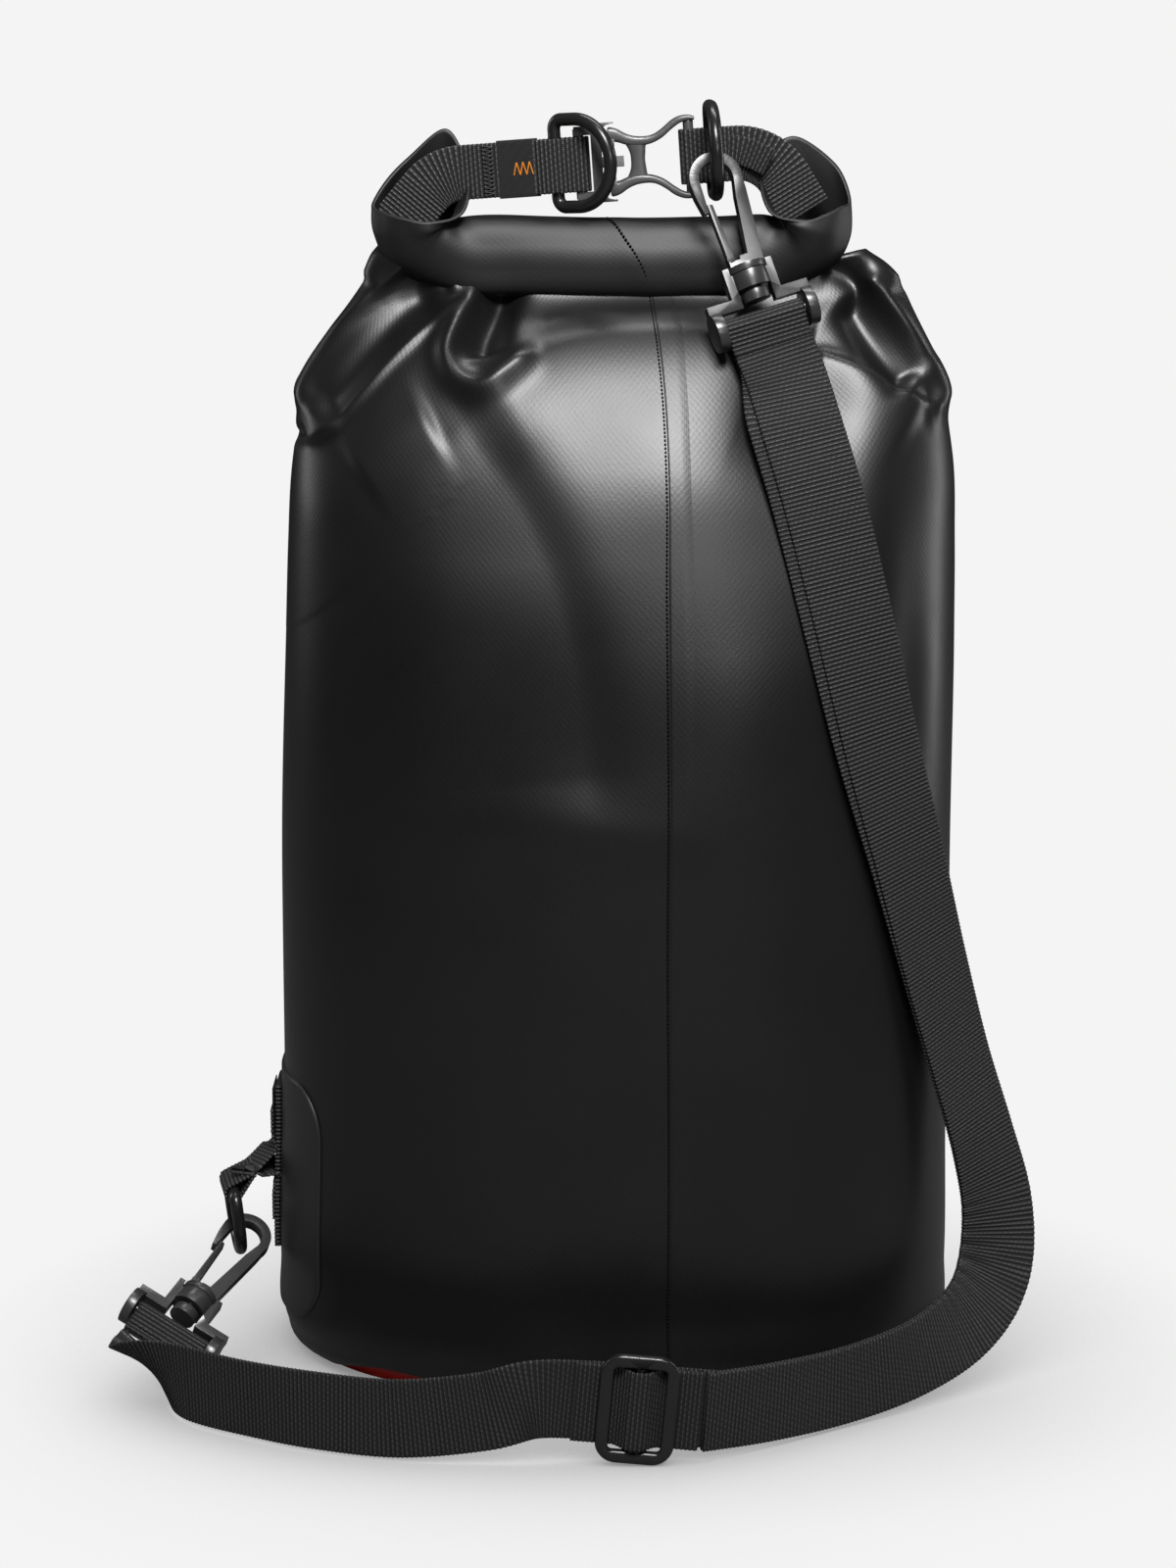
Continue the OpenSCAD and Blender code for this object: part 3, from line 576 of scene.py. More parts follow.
def shell_top(angle):
    """The shell's upper edge: low under the roll, higher where the gussets fold at the sides."""
    side = np.abs(np.cos(angle)) ** 1.5
    peak = np.where(np.cos(angle) < 0, TOP_LEFT, TOP_RIGHT)
    return TOP_MIDDLE + (peak - TOP_MIDDLE) * side


def hem_lift(angle):
    """The hem stands a little off the floor at the front left."""
    return HEM_RISE * np.exp(-((angle + HEM_ANGLE) / HEM_REACH) ** 2)


def angle_at_x(x, z):
    """Angle at which the shell's seam side passes x."""
    left, right = smooth_rows(SHELL_ROWS, z)[:, :2].T
    share = np.clip(np.abs(x) / np.where(x < 0, left, right), 0, 1)
    turn = np.arccos(share ** (OVAL_POWER / 2))
    return np.where(x < 0, -math.pi + turn, -turn)


def make_shell():
    angle = np.linspace(-math.pi, math.pi, SHELL_COLUMNS, endpoint=False)
    share = np.linspace(0, 1, SHELL_RISE)
    a, t = np.meshgrid(angle, share)
    low = HEM_Z + hem_lift(a)
    z = low + (shell_top(a) - low) * t
    rings = shell_points(a.ravel(), z.ravel()).reshape(SHELL_RISE, SHELL_COLUMNS, 3)
    lip = rings[0].copy()
    lip[:, :2] *= LIP_SHARE
    lip[:, 2] += 1.2
    rings = np.concatenate([lip[None], rings])
    girth = rings[GIRTH_ROW]
    around = np.cumsum(np.linalg.norm(np.diff(girth, axis=0, append=girth[:1]), axis=1))
    weave = np.stack(np.broadcast_arrays(around[None, :], rings[..., 2]), axis=-1).reshape(-1, 2)
    shell = capped_tube("bag_shell", rings, weave)
    finish_piece(shell, "bag", "tarpaulin", "bag_body")


def make_base():
    """The welded base: a shallow tray whose rim follows the hem."""
    floor_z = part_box("base_panel")[0][2] / MM
    angle = np.linspace(-math.pi, math.pi, 240, endpoint=False)
    rows = []
    for z, share in ((0.0, LIP_SHARE), (0.5, 0.982), (2.2, 0.986), (2.6, 0.95), (2.6, 0.5)):
        ring = shell_base(angle, np.full(angle.shape, 1.0))
        ring[:, :2] *= share
        ring[:, 2] = z + floor_z + (0.8 * hem_lift(angle) if z > 1 else 0.0)
        rows.append(ring)
    rings = np.array(rows)
    base = capped_tube("base_welded", rings, rings.reshape(-1, 3)[:, :2])
    finish_piece(base, "bag", "base_fabric", "base_panel")


# --- Webbing, thread and stitches -----------------------------
# Half outline of woven webbing, as shares of its half width and half thickness
EDGE = [(1.0, 0.0), (0.995, 0.55), (0.975, 0.88), (0.93, 1.0)]
RIB = 2.0
RIB_DEPTH = 0.16
RIB_STEP = 0.4
TACK_THREAD = 0.34
TACK_LENGTH = 23
# A stitch and the gap after it are divided into steps, and the stitch takes the first ones
STITCH_STEPS = 8
STITCH_TAKES = 6


def ribbon_profile():
    across = [(u, 1.0) for u in np.linspace(0.8, -0.8, 9)]
    top = EDGE + across + [(-u, v) for u, v in reversed(EDGE)]
    return np.array(top + [(-u, -v) for u, v in top[1:-1]])


def ribbon_rings(path, wide, width, thickness, run):
    """Cross-sections of webbing along a path, thicker at each rib."""
    along = units(np.gradient(path, axis=0))
    wide = units(wide - np.sum(wide * along, axis=1, keepdims=True) * along)
    face = np.cross(along, wide)
    profile = ribbon_profile()
    swell = np.cos(2 * math.pi * run / RIB)[:, None]
    u = profile[None, :, 0] * (width / 2 + 0.14 * swell)
    v = profile[None, :, 1] * thickness / 2 * (1 + RIB_DEPTH * (swell - 1))
    rings = path[:, None, :] + wide[:, None, :] * u[..., None] + face[:, None, :] * v[..., None]
    weave = np.stack(np.broadcast_arrays(u, run[:, None]), axis=-1)
    return rings, weave.reshape(-1, 2)


def ribbon(name, points, wide, width, thickness):
    """Webbing along points that are already a smooth line. wide is one direction or one for each."""
    points = np.asarray(points, float)
    wide = np.broadcast_to(np.asarray(wide, float), points.shape)
    line, run = resample(np.concatenate([points, wide], axis=1), RIB_STEP)
    rings, weave = ribbon_rings(line[:, :3], line[:, 3:], width, thickness, run)
    return capped_tube(name, rings, weave)


def tube(name, points, radius, sides):
    """Round thread or cord along points."""
    points = np.asarray(points, float)
    along = units(np.gradient(points, axis=0))
    side = np.cross(along, UP)
    flat = np.linalg.norm(side, axis=1) < 0.05
    side[flat] = np.cross(along[flat], FRONT)
    side = units(side)
    over = np.cross(along, side)
    angle = np.linspace(0, 2 * math.pi, sides, endpoint=False)
    rings = (points[:, None, :] + radius * np.cos(angle)[None, :, None] * side[:, None, :]
             + radius * np.sin(angle)[None, :, None] * over[:, None, :])
    return capped_tube(name, rings)


def bar_tack(name, node, corner, across, along, width, teeth):
    """Thread to and fro over a width, from a corner across the webbing."""
    points = []
    for i in range(2 * teeth + 1):
        over = across * (width if i % 2 else 0.0)
        points.append(corner + over + along * (TACK_LENGTH * i / (2 * teeth)))
    tack = tube(name, resample(points, 0.35)[0], TACK_THREAD, 6)
    finish_piece(tack, "bag", "thread", node)


def stitches(name, points, normal, length, gap, radius):
    """A row of stitches as one mesh, each a little hump of thread."""
    line = resample(points, (length + gap) / STITCH_STEPS)[0]
    normal = unit(normal)
    vertices, faces = [], []
    sides, steps = 6, 7
    angle = np.linspace(0, 2 * math.pi, sides, endpoint=False)
    for start in range(0, len(line) - STITCH_STEPS, STITCH_STEPS):
        a, b = line[start], line[start + STITCH_TAKES]
        along = unit(b - a)
        side = np.cross(along, normal)
        over = np.cross(side, along)
        faces += tube_faces(steps, sides, len(vertices))
        for k in range(steps):
            t = k / (steps - 1)
            sink = radius * (1.6 * (2 * t - 1) ** 2 - 0.6)
            centre = a + (b - a) * t - over * sink
            thick = radius * (1 - 0.5 * (2 * t - 1) ** 4)
            for q in angle:
                vertices.append(centre + thick * (math.cos(q) * side + math.sin(q) * over))
    return piece(name, vertices, faces)


class Place:
    """A local frame: points in it become points of the row frame, in millimetres."""

    def __init__(self, origin, x, z):
        self.origin = np.asarray(origin, float)
        self.x = unit(x)
        self.z = unit(np.asarray(z, float) - np.dot(z, self.x) * self.x)
        self.y = np.cross(self.z, self.x)

    def __call__(self, points):
        return self.origin + np.asarray(points, float) @ np.array([self.x, self.y, self.z])


def joint_place(joint):
    return np.array(JOINTS[joint]["pos_m"]) / MM


def joint_axis(joint):
    return unit(JOINTS[joint]["axis"])


def hook_frame(side):
    """Frame of a snap hook: eye at the origin, bar of its frame along x, hook along +z."""
    z = joint_axis(side + "_hook_swivel")
    y = joint_axis(side + "_gate_open")
    return Place(joint_place(side + "_hook_swivel"), np.cross(y, z), z)


CLOSURE_UP = joint_axis("left_ring_swing")
CLOSURE = Place(
    joint_place("left_ring_swing") - CLOSURE_UP, np.cross([0, 1, 0], CLOSURE_UP), CLOSURE_UP)
LOWER_RING = Place(joint_place("lower_ring_swing"), joint_axis("lower_ring_swing"), (0.75, 0.15, 0.66))
SLIDER_ALONG = joint_axis("slider_slide")
SLIDER = Place((9, -166, 27), SLIDER_ALONG, (0, 0, 1))


# --- Shoulder strap -------------------------------------------
STRAP_WIDTH = 38
STRAP_THICKNESS = 1.8
# How far the rear layer of the doubled strap lies to one side of the front one
REAR_SLIP = 5.0
# Each row is a place and the direction of the strap's width there
DOUBLED_ROUTE = [
    ((71.5, -44.2, 493.9), (0.92, 0.25, 0.26)), ((77, -50, 480), (0.93, 0.25, 0.24)),
    ((84, -61, 458), (0.95, 0.2, 0.2)), ((94, -71, 425), (0.95, 0.2, 0.15)),
    ((108, -78, 370), (0.93, 0.3, 0.15)), ((121, -78, 315), (0.9, 0.4, 0.15)),
    ((135, -72, 262), (0.85, 0.5, 0.12)), ((149, -62, 208), (0.8, 0.6, 0.1)),
    ((163, -52, 158), (0.75, 0.65, 0.1)), ((176, -46, 115), (0.8, 0.6, 0.1)),
    ((184, -45, 80), (0.9, 0.4, 0)), ((182, -54, 51), (0.85, 0.1, -0.5)),
    ((168, -74, 34), (0.5, 0, -0.87)), ((142, -99, 25), (0.15, 0, -1)),
    ((108, -122, 21), (0, 0, -1)), ((72, -145, 22), (-0.05, 0, -1)),
    ((39.9, -162.5, 24.3), (-0.09, 0, -1)),
]
SINGLE_ROUTE = [
    ((44, -160, 24.5), (-0.09, 0, -1)), ((9, -160, 27.5), (-0.09, 0, -1)),
    ((-16, -160.6, 29.5), (-0.09, 0, -1)), ((-38, -163, 30.5), (-0.05, 0, -1)),
    ((-62, -164, 25), (0.1, 0, -1)), ((-100, -162, 21), (0, 0, -1)),
    ((-140, -152, 21), (0, 0, -1)), ((-174, -137, 21), (0.1, 0, -1)),
    ((-200, -121, 21), (0.35, -0.2, -0.9)),
    ((-216, -106, 20.5), (0.65, -0.3, -0.7)), ((-222.6, -93, 19.8), (0.83, -0.29, -0.48)),
    ((-219.9, -87.3, 21.8), (0.855, -0.26, -0.451)),
]
# Length next to each hook that is made as a piece of its own
DOUBLED_SWING = 80
SINGLE_SWING = 45


def strap_line(route):
    rows = np.array([[*place, *wide] for place, wide in route], float)
    return resample(catmull(rows, 12), RIB_STEP)


def strap_piece(name, line, run, layers, first, last):
    """Webbing between two points of a line, as one or two layers of it."""
    face = units(np.cross(np.gradient(line[:, :3], axis=0), line[:, 3:]))
    wide = units(line[:, 3:])
    slip = REAR_SLIP * smoothstep(4, 36, run) * smoothstep(330, 120, run)
    vertices, faces, cloth = [], [], []
    for layer in range(layers):
        offset = (0.5 * (layers - 1) - layer) * STRAP_THICKNESS
        path = line[:, :3] + offset * face - (layer * slip)[:, None] * wide
        rings, weave = ribbon_rings(path, line[:, 3:], STRAP_WIDTH, STRAP_THICKNESS, run)
        rings = rings[first:last + 1]
        rows, columns = rings.shape[:2]
        faces += tube_faces(rows, columns, layer * rows * columns)
        vertices.append(rings.reshape(-1, 3))
        cloth.append(weave[first * columns:(last + 1) * columns])
    return piece(name, np.concatenate(vertices), faces, np.concatenate(cloth))


def make_strap():
    line, run = strap_line(DOUBLED_ROUTE)
    cut = int(np.searchsorted(run, DOUBLED_SWING))
    top = strap_piece("strap_doubled_top", line, run, 2, 0, cut)
    finish_piece(top, None, "shoulder_webbing")
    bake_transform(top)
    main = strap_piece("strap_doubled_run", line, run, 2, cut, len(line) - 1)
    finish_piece(main, None, "shoulder_webbing", "strap_doubled")
    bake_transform(main)

    line, run = strap_line(SINGLE_ROUTE)
    cut = int(np.searchsorted(run, run[-1] - SINGLE_SWING))
    end = strap_piece("strap_single_end", line, run, 1, cut, len(line) - 1)
    finish_piece(end, None, "shoulder_webbing")
    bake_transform(end)
    main = strap_piece("strap_single_run", line, run, 1, 0, cut)
    finish_piece(main, None, "shoulder_webbing", "strap_single")
    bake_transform(main)


FRAME_BAR_Z = -68


def fold_path(inner, wall, reach, joined):
    """Centre line of webbing folded round a bar at the origin, its two layers joined at the reach."""
    radius = inner + wall / 2
    turn = [(radius * math.sin(a), -radius * math.cos(a))
            for a in np.radians(np.arange(100, -101, -20))]
    right = [(wall / 2, reach), (wall / 2 + 0.05, reach - joined)]
    left = [(-x, y) for x, y in reversed(right)]
    return catmull(right + turn + left, 8)


def make_strap_folds():
    """The strap's ends folded round the hook frames' bars, and the rows that sew the lower one."""
    for side in ("upper", "lower"):
        place = hook_frame(side)
        flat = fold_path(2.9, STRAP_THICKNESS, 13, 4)
        points = place(np.stack([np.zeros(len(flat)), flat[:, 0], FRAME_BAR_Z - flat[:, 1]], axis=1))
        fold = ribbon(f"strap_fold_{side}", points, place.x, STRAP_WIDTH, STRAP_THICKNESS)
        finish_piece(fold, f"{side}_frame", "shoulder_webbing", f"strap_loop_{side}")
    place = hook_frame("lower")
    for number, height in enumerate((-80.6, -77.0)):
        ends = place([(-17.5, -2.1, height), (17.5, -2.1, height)])
        row = stitches(f"strap_stitch_row_{number}", ends, -place.y, 2.6, 0.7, 0.38)
        finish_piece(row, "lower_frame", "thread", *(["strap_stitching"] if number == 0 else []))


def make_slider():
    """The webbing that passes over the slider's bar and back down through its slots."""
    low, high = -3.4, 3.4
    half = [(0, low), (3.4, low + 0.5), (6.0, 0), (9, high - 0.7), (12, high), (29, high)]
    flat = catmull([(-x, y) for x, y in reversed(half[1:])] + half, 8)
    points = SLIDER(np.stack([flat[:, 0], flat[:, 1], np.zeros(len(flat))], axis=1))
    strip = ribbon("slider_strip", points, SLIDER.z, STRAP_WIDTH, STRAP_THICKNESS)
    finish_piece(strip, "slider", "shoulder_webbing", "slider_webbing")


# --- Rolled mouth ---------------------------------------------
ROLL_RADIUS = 16
# Sections of the roll from its open ends inward, each as eight points round it:
# bottom, front low, front, front high, top, back high, back, back low
LEFT_END = [
    [(-114, -4, 556), (-108, -14, 551.5), (-99, -20, 549.5), (-86, -22, 548),
     (-71, -13, 553), (-68, 4, 570), (-79, 11, 590), (-98, 8, 576)],
    [(-113.5, -6, 544), (-107, -15, 541), (-97, -20, 542), (-84, -21, 545),
     (-74, -6, 552), (-73, 9, 563), (-86, 15, 568), (-105, 6, 560)],
    [(-105, -4, 527), (-100, -14, 529), (-91, -19, 535), (-82, -18, 544),
     (-75, -4, 550), (-77, 11, 553), (-89, 16, 551), (-102, 9, 539)],
    [(-86, -1, 518), (-85, -12, 521), (-82, -17, 531), (-78, -15.5, 543),
     (-75, -1, 549.5), (-77, 12, 546), (-82, 16, 537), (-86, 11, 525)],
]
RIGHT_END = [
    [(109, 0, 557), (104, -9, 554), (96, -15, 551.5), (86, -19, 549),
     (70, -14, 553), (67, 6, 574), (82, 11, 587), (102, 9, 574)],
    [(109, -3, 541), (103, -12, 541), (94, -18, 544), (82, -19, 547),
     (73, -8, 552), (73, 8, 561), (86, 13, 566), (103, 8, 556)],
    [(102, -3, 527), (97, -13, 530), (89, -18, 537), (80, -17, 545),
     (74, -3, 550), (77, 10, 553), (88, 15, 551), (99, 9, 538)],
    [(85, -1, 518), (84, -12, 521), (81, -17, 531), (77, -14, 543),
     (74, 0, 549), (76, 12, 546), (81, 16, 537), (85, 11, 525)],
]
ROLL_COLUMNS = 96
ROLL_WALL = 1.7
ROLL_STEPS = 20
# The same eight points as (y, z) between the ends, where the roll's front runs down into the shell
ROLL_SECTION = [
    (0, 513), (-13.6, 515.5), (-16.4, 527), (-15.0, 537.5), (-8, 548.6), (8, 548), (16, 533), (11, 521),
]
ROLL_STATIONS = (-66, -40, 0, 40, 66)


def roll_wrinkles(rings):
    """Turns of cloth on the roll: a spiral edge along it and slack near its ends."""
    x, y, z = rings[..., 0], rings[..., 1], rings[..., 2]
    lift = 0.5 * np.sin(x / 9.0 + y / 6.0) * smoothstep(30, 80, np.abs(x))
    lift += 0.7 * np.sin(x / 24.0 + 1.3) * np.sin(z / 9.0)
    lift += 0.5 * np.exp(-((x - 15 + 0.5 * (z - 520)) / 9) ** 2) * smoothstep(6, -8, y)
    return lift


def make_roll():
    """The rolled mouth as one skin that turns in at its two open ends."""
    straight = [[(x, y, z) for y, z in ROLL_SECTION] for x in ROLL_STATIONS]
    sections = LEFT_END + straight + RIGHT_END[::-1]
    sections = np.array([catmull(s, ROLL_COLUMNS // 8, closed=True) for s in sections])
    outer = catmull(sections.reshape(len(sections), -1), ROLL_STEPS).reshape(-1, ROLL_COLUMNS, 3)
    outward = units(outer - outer.mean(axis=1, keepdims=True))
    outer = outer + outward * roll_wrinkles(outer)[..., None]
    inner = outer - outward * ROLL_WALL
    depth = 3 * ROLL_STEPS
    lip = outer - outward * ROLL_WALL / 2
    left_lip = lip[:1] + (lip[:1] - lip[1:2]) * 0.6
    right_lip = lip[-1:] + (lip[-1:] - lip[-2:-1]) * 0.6
    rings = np.concatenate(
        [inner[depth:0:-1], inner[:1], left_lip, outer, right_lip, inner[:-depth - 1:-1]])
    steps = np.linalg.norm(np.diff(rings, axis=0), axis=2).mean(axis=1)
    run = np.concatenate([[0.0], np.cumsum(steps)])
    around = np.linspace(0, 2 * math.pi * ROLL_RADIUS, ROLL_COLUMNS)
    weave = np.stack(np.broadcast_arrays(around[None, :], run[:, None]), axis=-1).reshape(-1, 2)
    roll = capped_tube("rolled_mouth", rings[:, ::-1], weave)
    finish_piece(roll, "bag", "tarpaulin", "roll_top", look="roll_fabric")


# --- Closure --------------------------------------------------
CLOSURE_WIDTH = 25
CLOSURE_THICKNESS = 1.6
LOOP_RADIUS = 4.1
LAYER_OFFSET = 0.85
MALE_BAR_X = 11
FEMALE_BAR_X = 62
LEFT_RING_X = 0
RIGHT_RING_X = 72
TONGUE_WIDTH = 13


def closure_loop(turn_x, ring_x, tail):
    """Centre line of webbing round a buckle bar and past a ring's bar, its layers joined after that."""
    way = 1 if tail > ring_x else -1
    turn = [(turn_x - way * LOOP_RADIUS * math.sin(a), LOOP_RADIUS * math.cos(a))
            for a in np.radians(np.arange(0, 91, 15))]
    part = [(tail, LAYER_OFFSET), (ring_x + way * 16, LAYER_OFFSET), (ring_x + way * 11, 1.3),
            (ring_x + way * 6, 3.2), (ring_x, LOOP_RADIUS)]
    upper = part + turn
    lower = [(x, -y) for x, y in reversed(upper[:-1])]
    return catmull(upper + lower, 8)


def curled(points, bend_x, radius, most):
    """The same points, but past bend_x they curl down into the roll's end, by most degrees."""
    way = math.copysign(1, bend_x)
    past = np.clip(way * (points[:, 0] - bend_x), 0, None)
    turn = np.minimum(past / radius, math.radians(most))
    rest = past - radius * turn
    x = points[:, 0] - way * past + way * (radius * np.sin(turn) + rest * np.cos(turn))
    return np.stack([x, points[:, 1], -radius * (1 - np.cos(turn)) - rest * np.sin(turn)], axis=1)


def make_closure():
    """Webbing of the buckle's two sides, the tongue beside it, the bar tacks and the label."""
    left = resample(closure_loop(MALE_BAR_X, LEFT_RING_X, -84), 1.0)[0]
    right = resample(closure_loop(FEMALE_BAR_X, RIGHT_RING_X, 128), 1.0)[0]
    tongue = catmull([(80, -2.6, 2), (86, -3.2, 1), (93, -4.6, -2), (98, -5.6, -5)], 8)
    for name, node, points, width in (
        ("closure_strip_left", "closure_webbing_left", curled(left, -44, 24, 46), CLOSURE_WIDTH),
        ("closure_strip_right", "closure_webbing_right", curled(right, 83, 25, 62), CLOSURE_WIDTH),
        ("closure_tongue", "webbing_tongue", tongue, TONGUE_WIDTH),
    ):
        strip = ribbon(name, CLOSURE(points), CLOSURE.z, width, CLOSURE_THICKNESS)
        finish_piece(strip, "bag", "closure_webbing", node)
    for name, x in (("left", -34), ("right", 77)):
        bar_tack(f"closure_tack_{name}", f"bar_tack_{name}", CLOSURE([x, -1.95, -11.5]),
                 CLOSURE.x, CLOSURE.z, 5, 12)
    make_label()


LOFT_COLUMNS = 28


def loft(name, stations, half_depth, upright=False):
    """Rounded bar through stations of (distance, centre, half width), along the closure or upright."""
    turn = np.linspace(0, 2 * math.pi, LOFT_COLUMNS, endpoint=False)
    c, d = np.cos(turn), np.sin(turn)
    c, d = np.sign(c) * np.abs(c) ** 0.6, np.sign(d) * np.abs(d) ** 0.6
    rings = []
    for along, centre, half in catmull(stations, 6):
        level = np.full(LOFT_COLUMNS, along)
        if upright:
            points = np.stack([centre + half * c, half_depth * d, level], axis=1)
        else:
            points = np.stack([level, half_depth * c, centre + half * d], axis=1)
        rings.append(CLOSURE(points))
    return capped_tube(name, np.array(rings))


ARM = [
    (24.5, 12.6, 2.4), (25.5, 12.6, 3.3), (29, 11.8, 3.1), (33, 9.9, 2.6),
    (37, 8.8, 2.3), (42, 8.7, 2.0), (46, 9.6, 1.9), (50, 11.8, 2.1),
    (54, 14.9, 2.1), (58, 17.1, 1.7), (62, 17.8, 1.3), (65, 17.4, 0.8),
]
STEM = [
    (-9.5, 37, 6.5), (-7, 37.5, 4.6), (-3.5, 38, 3.6), (0, 38, 3.3), (3.5, 38, 3.6), (7, 37.5, 4.6),
    (9.5, 37, 6.5),
]


def make_buckle():
    """Skeleton buckle: two curved arms, a waisted stem between them and the bar for the webbing."""
    for side, way in (("upper", 1), ("lower", -1)):
        arm = loft(f"buckle_wing_{side}", [(x, way * z, half) for x, z, half in ARM], 3.3)
        finish_piece(arm, f"buckle_arm_{side}_body", "buckle_plastic", f"buckle_arm_{side}")
    stem = loft("buckle_stem", STEM, 2.9, upright=True)
    finish_piece(stem, "bag", "buckle_plastic", "buckle_female")
    ends = CLOSURE([(FEMALE_BAR_X, 0, -17), (FEMALE_BAR_X, 0, 17)])
    bar = tube("buckle_webbing_bar", resample(ends, 1.0)[0], 2.4, 20)
    finish_piece(bar, "bag", "buckle_plastic")


LABEL_FROM, LABEL_TO = -27, -8
LABEL_HALF_DEPTH = 2.3
LABEL_HALF_HEIGHT = 13.3
LABEL_EDGE = 0.6
# Above 1, the outline's sides run flat up to its rounded edges
LABEL_FLAT = 1.7


def make_label():
    """A flat sleeve round the webbing, with a zigzag sewn on its face."""
    turn = np.linspace(0, 2 * math.pi, 48, endpoint=False)
    c, s = np.cos(turn), np.sin(turn)
    y = np.clip(LABEL_FLAT * c, -1, 1) * (LABEL_HALF_DEPTH - LABEL_EDGE) + LABEL_EDGE * c
    z = np.clip(LABEL_FLAT * s, -1, 1) * (LABEL_HALF_HEIGHT - LABEL_EDGE) + LABEL_EDGE * s
    xs = np.linspace(LABEL_FROM, LABEL_TO, 24)
    rings = np.array([CLOSURE(np.stack([np.full(48, x), y, z], axis=1)) for x in xs])
    weave = np.array([[[q, x] for q in z] for x in xs]).reshape(-1, 2)
    sleeve = capped_tube("closure_label_sleeve", rings, weave)
    finish_piece(sleeve, "bag", "label", "closure_label")
    stripe = [CLOSURE([-19.8 + i * 1.5, -2.45, -3.0 + (6 if i % 2 else 0)]) for i in range(7)]
    mark = tube("label_stripe", resample(stripe, 0.4)[0], 0.35, 6)
    finish_piece(mark, "bag", "label", look="orange_thread")


# --- Lower side -----------------------------------------------
PATCH_LOW = 22
PATCH_HIGH = 143
PATCH_REACH = 32
PATCH_CORNER = 26
PATCH_LIFT = 1.5
PATCH_SINK = 0.8
SIDE_RADIUS = 160


def make_patch():
    """A rounded film welded on, with its edge pressed into the shell."""
    columns, rows = 110, 160
    u, v = np.meshgrid(np.linspace(-1, 1, columns), np.linspace(0, 1, rows))
    z = PATCH_LOW + (PATCH_HIGH - PATCH_LOW) * v
    edge = np.minimum(z - PATCH_LOW, PATCH_HIGH - z)
    share = np.clip(edge / PATCH_CORNER, 0, 1)
    reach = np.radians(PATCH_REACH) * (1 - 0.42 * (1 - np.sqrt(1 - (1 - share) ** 2)))
    angle = -math.pi + u * reach
    rim = np.minimum((1 - np.abs(u)) * reach * SIDE_RADIUS, edge)
    lift = -PATCH_SINK + (PATCH_LIFT + PATCH_SINK) * smoothstep(0, 1.4, rim)
    film = shell_points(angle.ravel(), z.ravel(), lift.ravel()).reshape(rows, columns, 3)
    weave = np.stack([u * reach * SIDE_RADIUS, z], axis=-1).reshape(-1, 2)
    faces = grid_faces(rows, columns, False)
    obj = piece("side_film", film.reshape(-1, 3), faces, weave)
    finish_piece(obj, "bag", "tarpaulin_trim", "side_patch")


def make_lower_side():
    """The film, the webbing tacked over it and the loop that holds the lower ring."""
    make_patch()
    heights = np.linspace(48, 131, 20)
    line = shell_points(np.full(20, -math.pi), heights, PATCH_LIFT + 1.1)
    strip = ribbon("side_webbing", line, (0, 1, 0), CLOSURE_WIDTH, 3.2)
    x = line[:, 0].mean() - 1.6
    finish_piece(strip, "bag", "closure_webbing", "patch_webbing")
    for name, low in (("upper", 120), ("lower", 50)):
        bar_tack(f"side_tack_{name}", f"patch_tack_{name}", np.array([x - 0.25, -11.5, low]),
                 UP, -FRONT, 9, 10)
    make_ring_loop(x)


def make_ring_loop(face):
    """Webbing round the lower ring's bar, its two ends turned up and down on the side webbing."""
    flat = fold_path(3.3, CLOSURE_THICKNESS, 15, 3)
    loop = LOWER_RING(np.stack([np.zeros(len(flat)), flat[:, 0], flat[:, 1]], axis=1))
    flush = face - 0.9
    points = [(flush, 0, 62), (flush, 0, 74), (flush, 0, 84), loop[0] + (0.8, 0, -0.5)]
    points += list(loop[2:-2:6])
    points += [loop[-1] + (0.8, 0, 0.5), (face - 1.2, 0, 99), (flush, 0, 108), (flush, 0, 118)]
    line = catmull(points, 8)
    wide = np.where(np.abs(line[:, :1] - face) < 2.5, (0, -1, 0), LOWER_RING.x)
    strip = ribbon("side_ring_loop", line, wide, CLOSURE_WIDTH, CLOSURE_THICKNESS)
    finish_piece(strip, "bag", "closure_webbing", "ring_loop")


# --- Seam -----------------------------------------------------
# Each edge of the lapped strip as (z, x)
SEAM_LEFT = [
    (8, 25.5), (33, 25), (115, 25), (210, 24), (301, 24), (389, 23), (432, 23), (474, 21), (507, 17),
    (519, 15.5),
]
SEAM_RIGHT = [
    (8, 38.5), (33, 38), (115, 38), (209, 38), (301, 38), (389, 38), (432, 36.5), (474, 35), (507, 32),
    (519, 29),
]
SEAM_WIDTH = 13
SEAM_LOW = 8
SEAM_HIGH = 519
# The stitches carry on over the front of the roll
ROLL_SEAM = [
    (15, -15.4, 518), (13, -17.2, 525), (9, -17.2, 533), (4, -15.0, 540.4), (-1, -10.8, 547.2),
    (-6, -5, 550.6),
]


def seam_x(table, z):
    return smooth_rows(table, z)[:, 0]


def seam_point(x, z, lift):
    return shell_points(angle_at_x(x, z), z, lift)


def seam_stitches(name, line, normal):
    row = stitches(name, line, normal, 1.5, 0.4, 0.52)
    finish_piece(row, "bag", "thread", look="seam_thread")


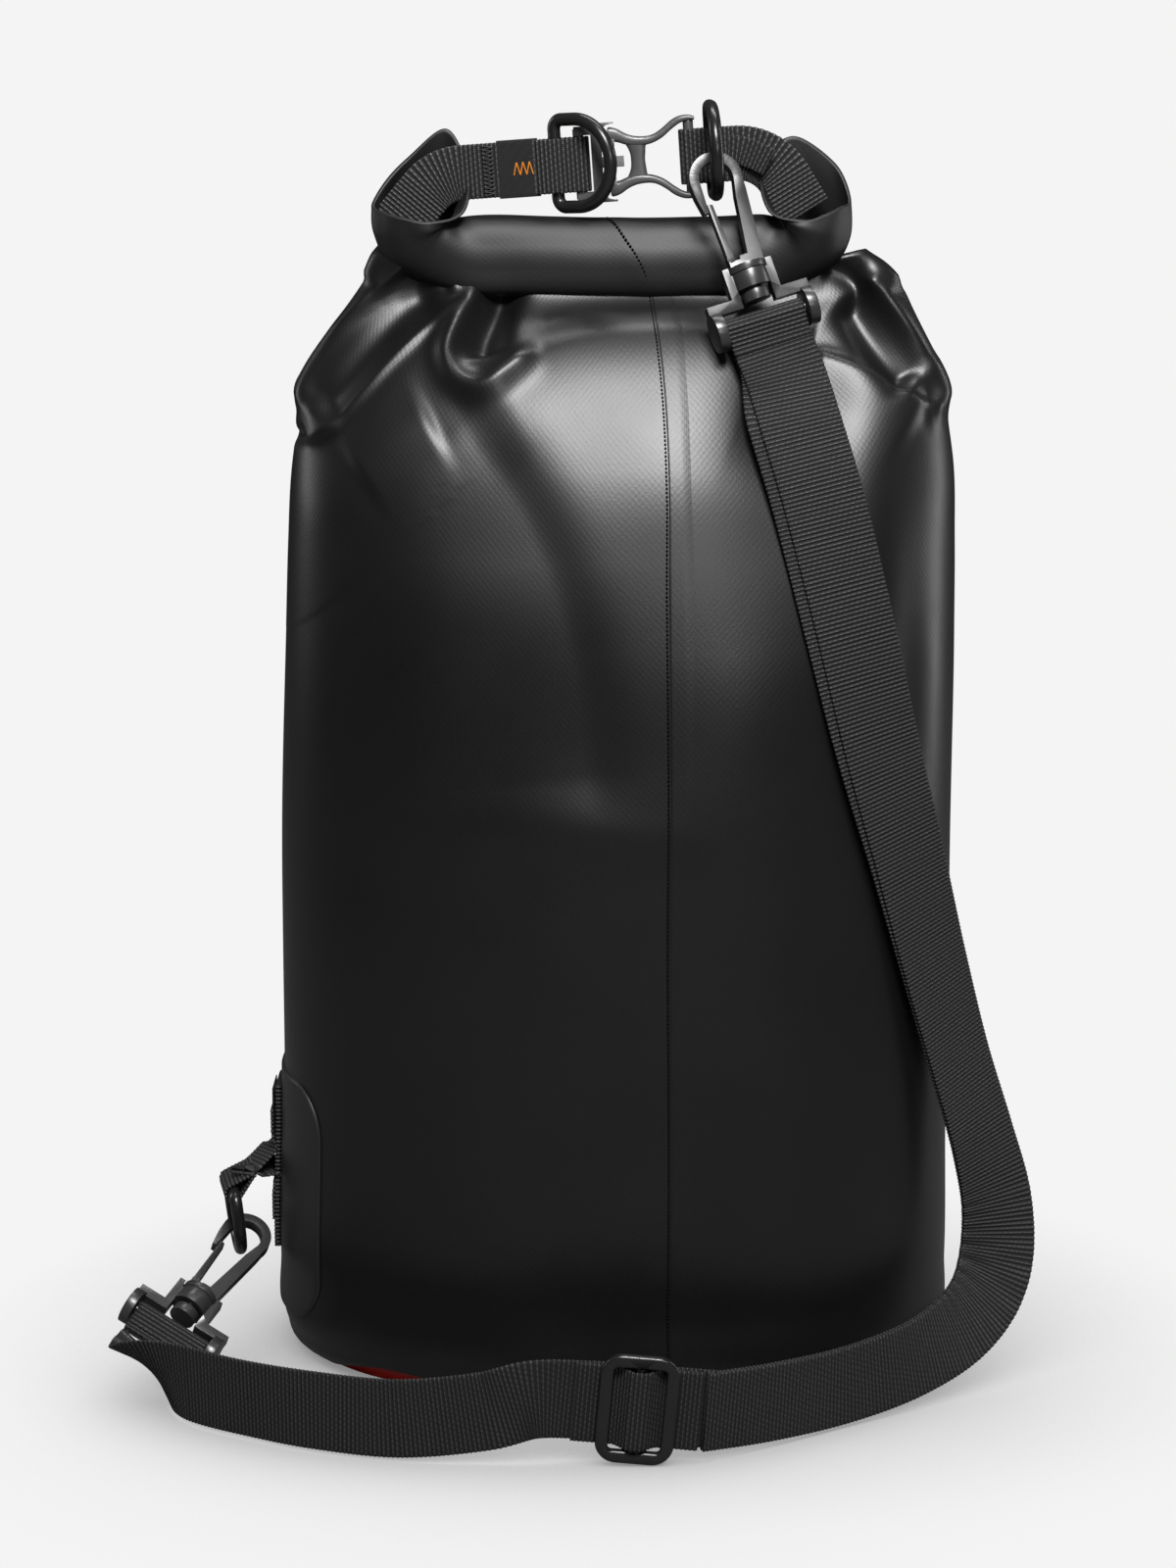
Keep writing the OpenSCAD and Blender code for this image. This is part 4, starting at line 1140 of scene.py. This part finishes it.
def make_seam():
    rows, columns = 700, 26
    z = np.linspace(SEAM_LOW, SEAM_HIGH, rows)
    left, right = seam_x(SEAM_LEFT, z), seam_x(SEAM_RIGHT, z)
    u = np.linspace(0, 1, columns)
    x = left[:, None] + (right - left)[:, None] * u[None, :]
    zz = np.broadcast_to(z[:, None], x.shape)
    lift = 0.4 * smoothstep(0, 1, u * SEAM_WIDTH / 0.8) * smoothstep(0, 1, (1 - u) * SEAM_WIDTH / 7)
    lift = -0.15 + lift
    lift = np.broadcast_to(lift[None, :], x.shape)
    strip = seam_point(x.ravel(), zz.ravel(), lift.ravel())
    weave = np.stack([x, zz], axis=-1).reshape(-1, 2)
    obj = piece("seam_lap", strip, grid_faces(rows, columns, False), weave)
    finish_piece(obj, "bag", "tarpaulin_trim", "back_seam", look="tarpaulin")
    z = np.linspace(SEAM_LOW + 2, SEAM_HIGH, 1500)
    line = seam_point(seam_x(SEAM_LEFT, z) - 0.7, z, np.full(z.shape, 0.25))
    seam_stitches("seam_line", line, FRONT)
    seam_stitches("seam_line_on_roll", catmull(ROLL_SEAM, 12), FRONT + 0.4 * UP)


# --- Hardware that keeps its CAD shape ------------------------
def soften(bevel, *nodes):
    """Rounds the edges of CAD nodes that stay, as moulded or cast parts have them."""
    for node in nodes:
        obj = frame["nodes"][node]
        obj.data.polygons.foreach_set("use_smooth", [True] * len(obj.data.polygons))
        weld = obj.modifiers.new("weld", "WELD")
        weld.merge_threshold = 0.00002
        round_off = obj.modifiers.new("bevel", "BEVEL")
        round_off.width = bevel * MM
        round_off.segments = 3
        round_off.limit_method = "ANGLE"
        round_off.angle_limit = math.radians(40)
        round_off.harden_normals = True
    dress_cad(*nodes)


def make_hardware():
    soften(0.7, "buckle_male")
    soften(0.8, "upper_hook", "lower_hook", "upper_hook_frame", "lower_hook_frame")
    soften(0.5, "upper_hook_gate", "lower_hook_gate")
    soften(1.3, "strap_slider")
    soften(0.3, "d_ring_left", "d_ring_right", "d_ring_lower")
    dress_cad("mouth_stiffener")


make_camera()
make_materials()
make_strap()
make_stage()
make_lights()
make_shell()
make_base()
make_seam()
make_roll()
make_closure()
make_buckle()
make_lower_side()
make_strap_folds()
make_slider()
make_hardware()
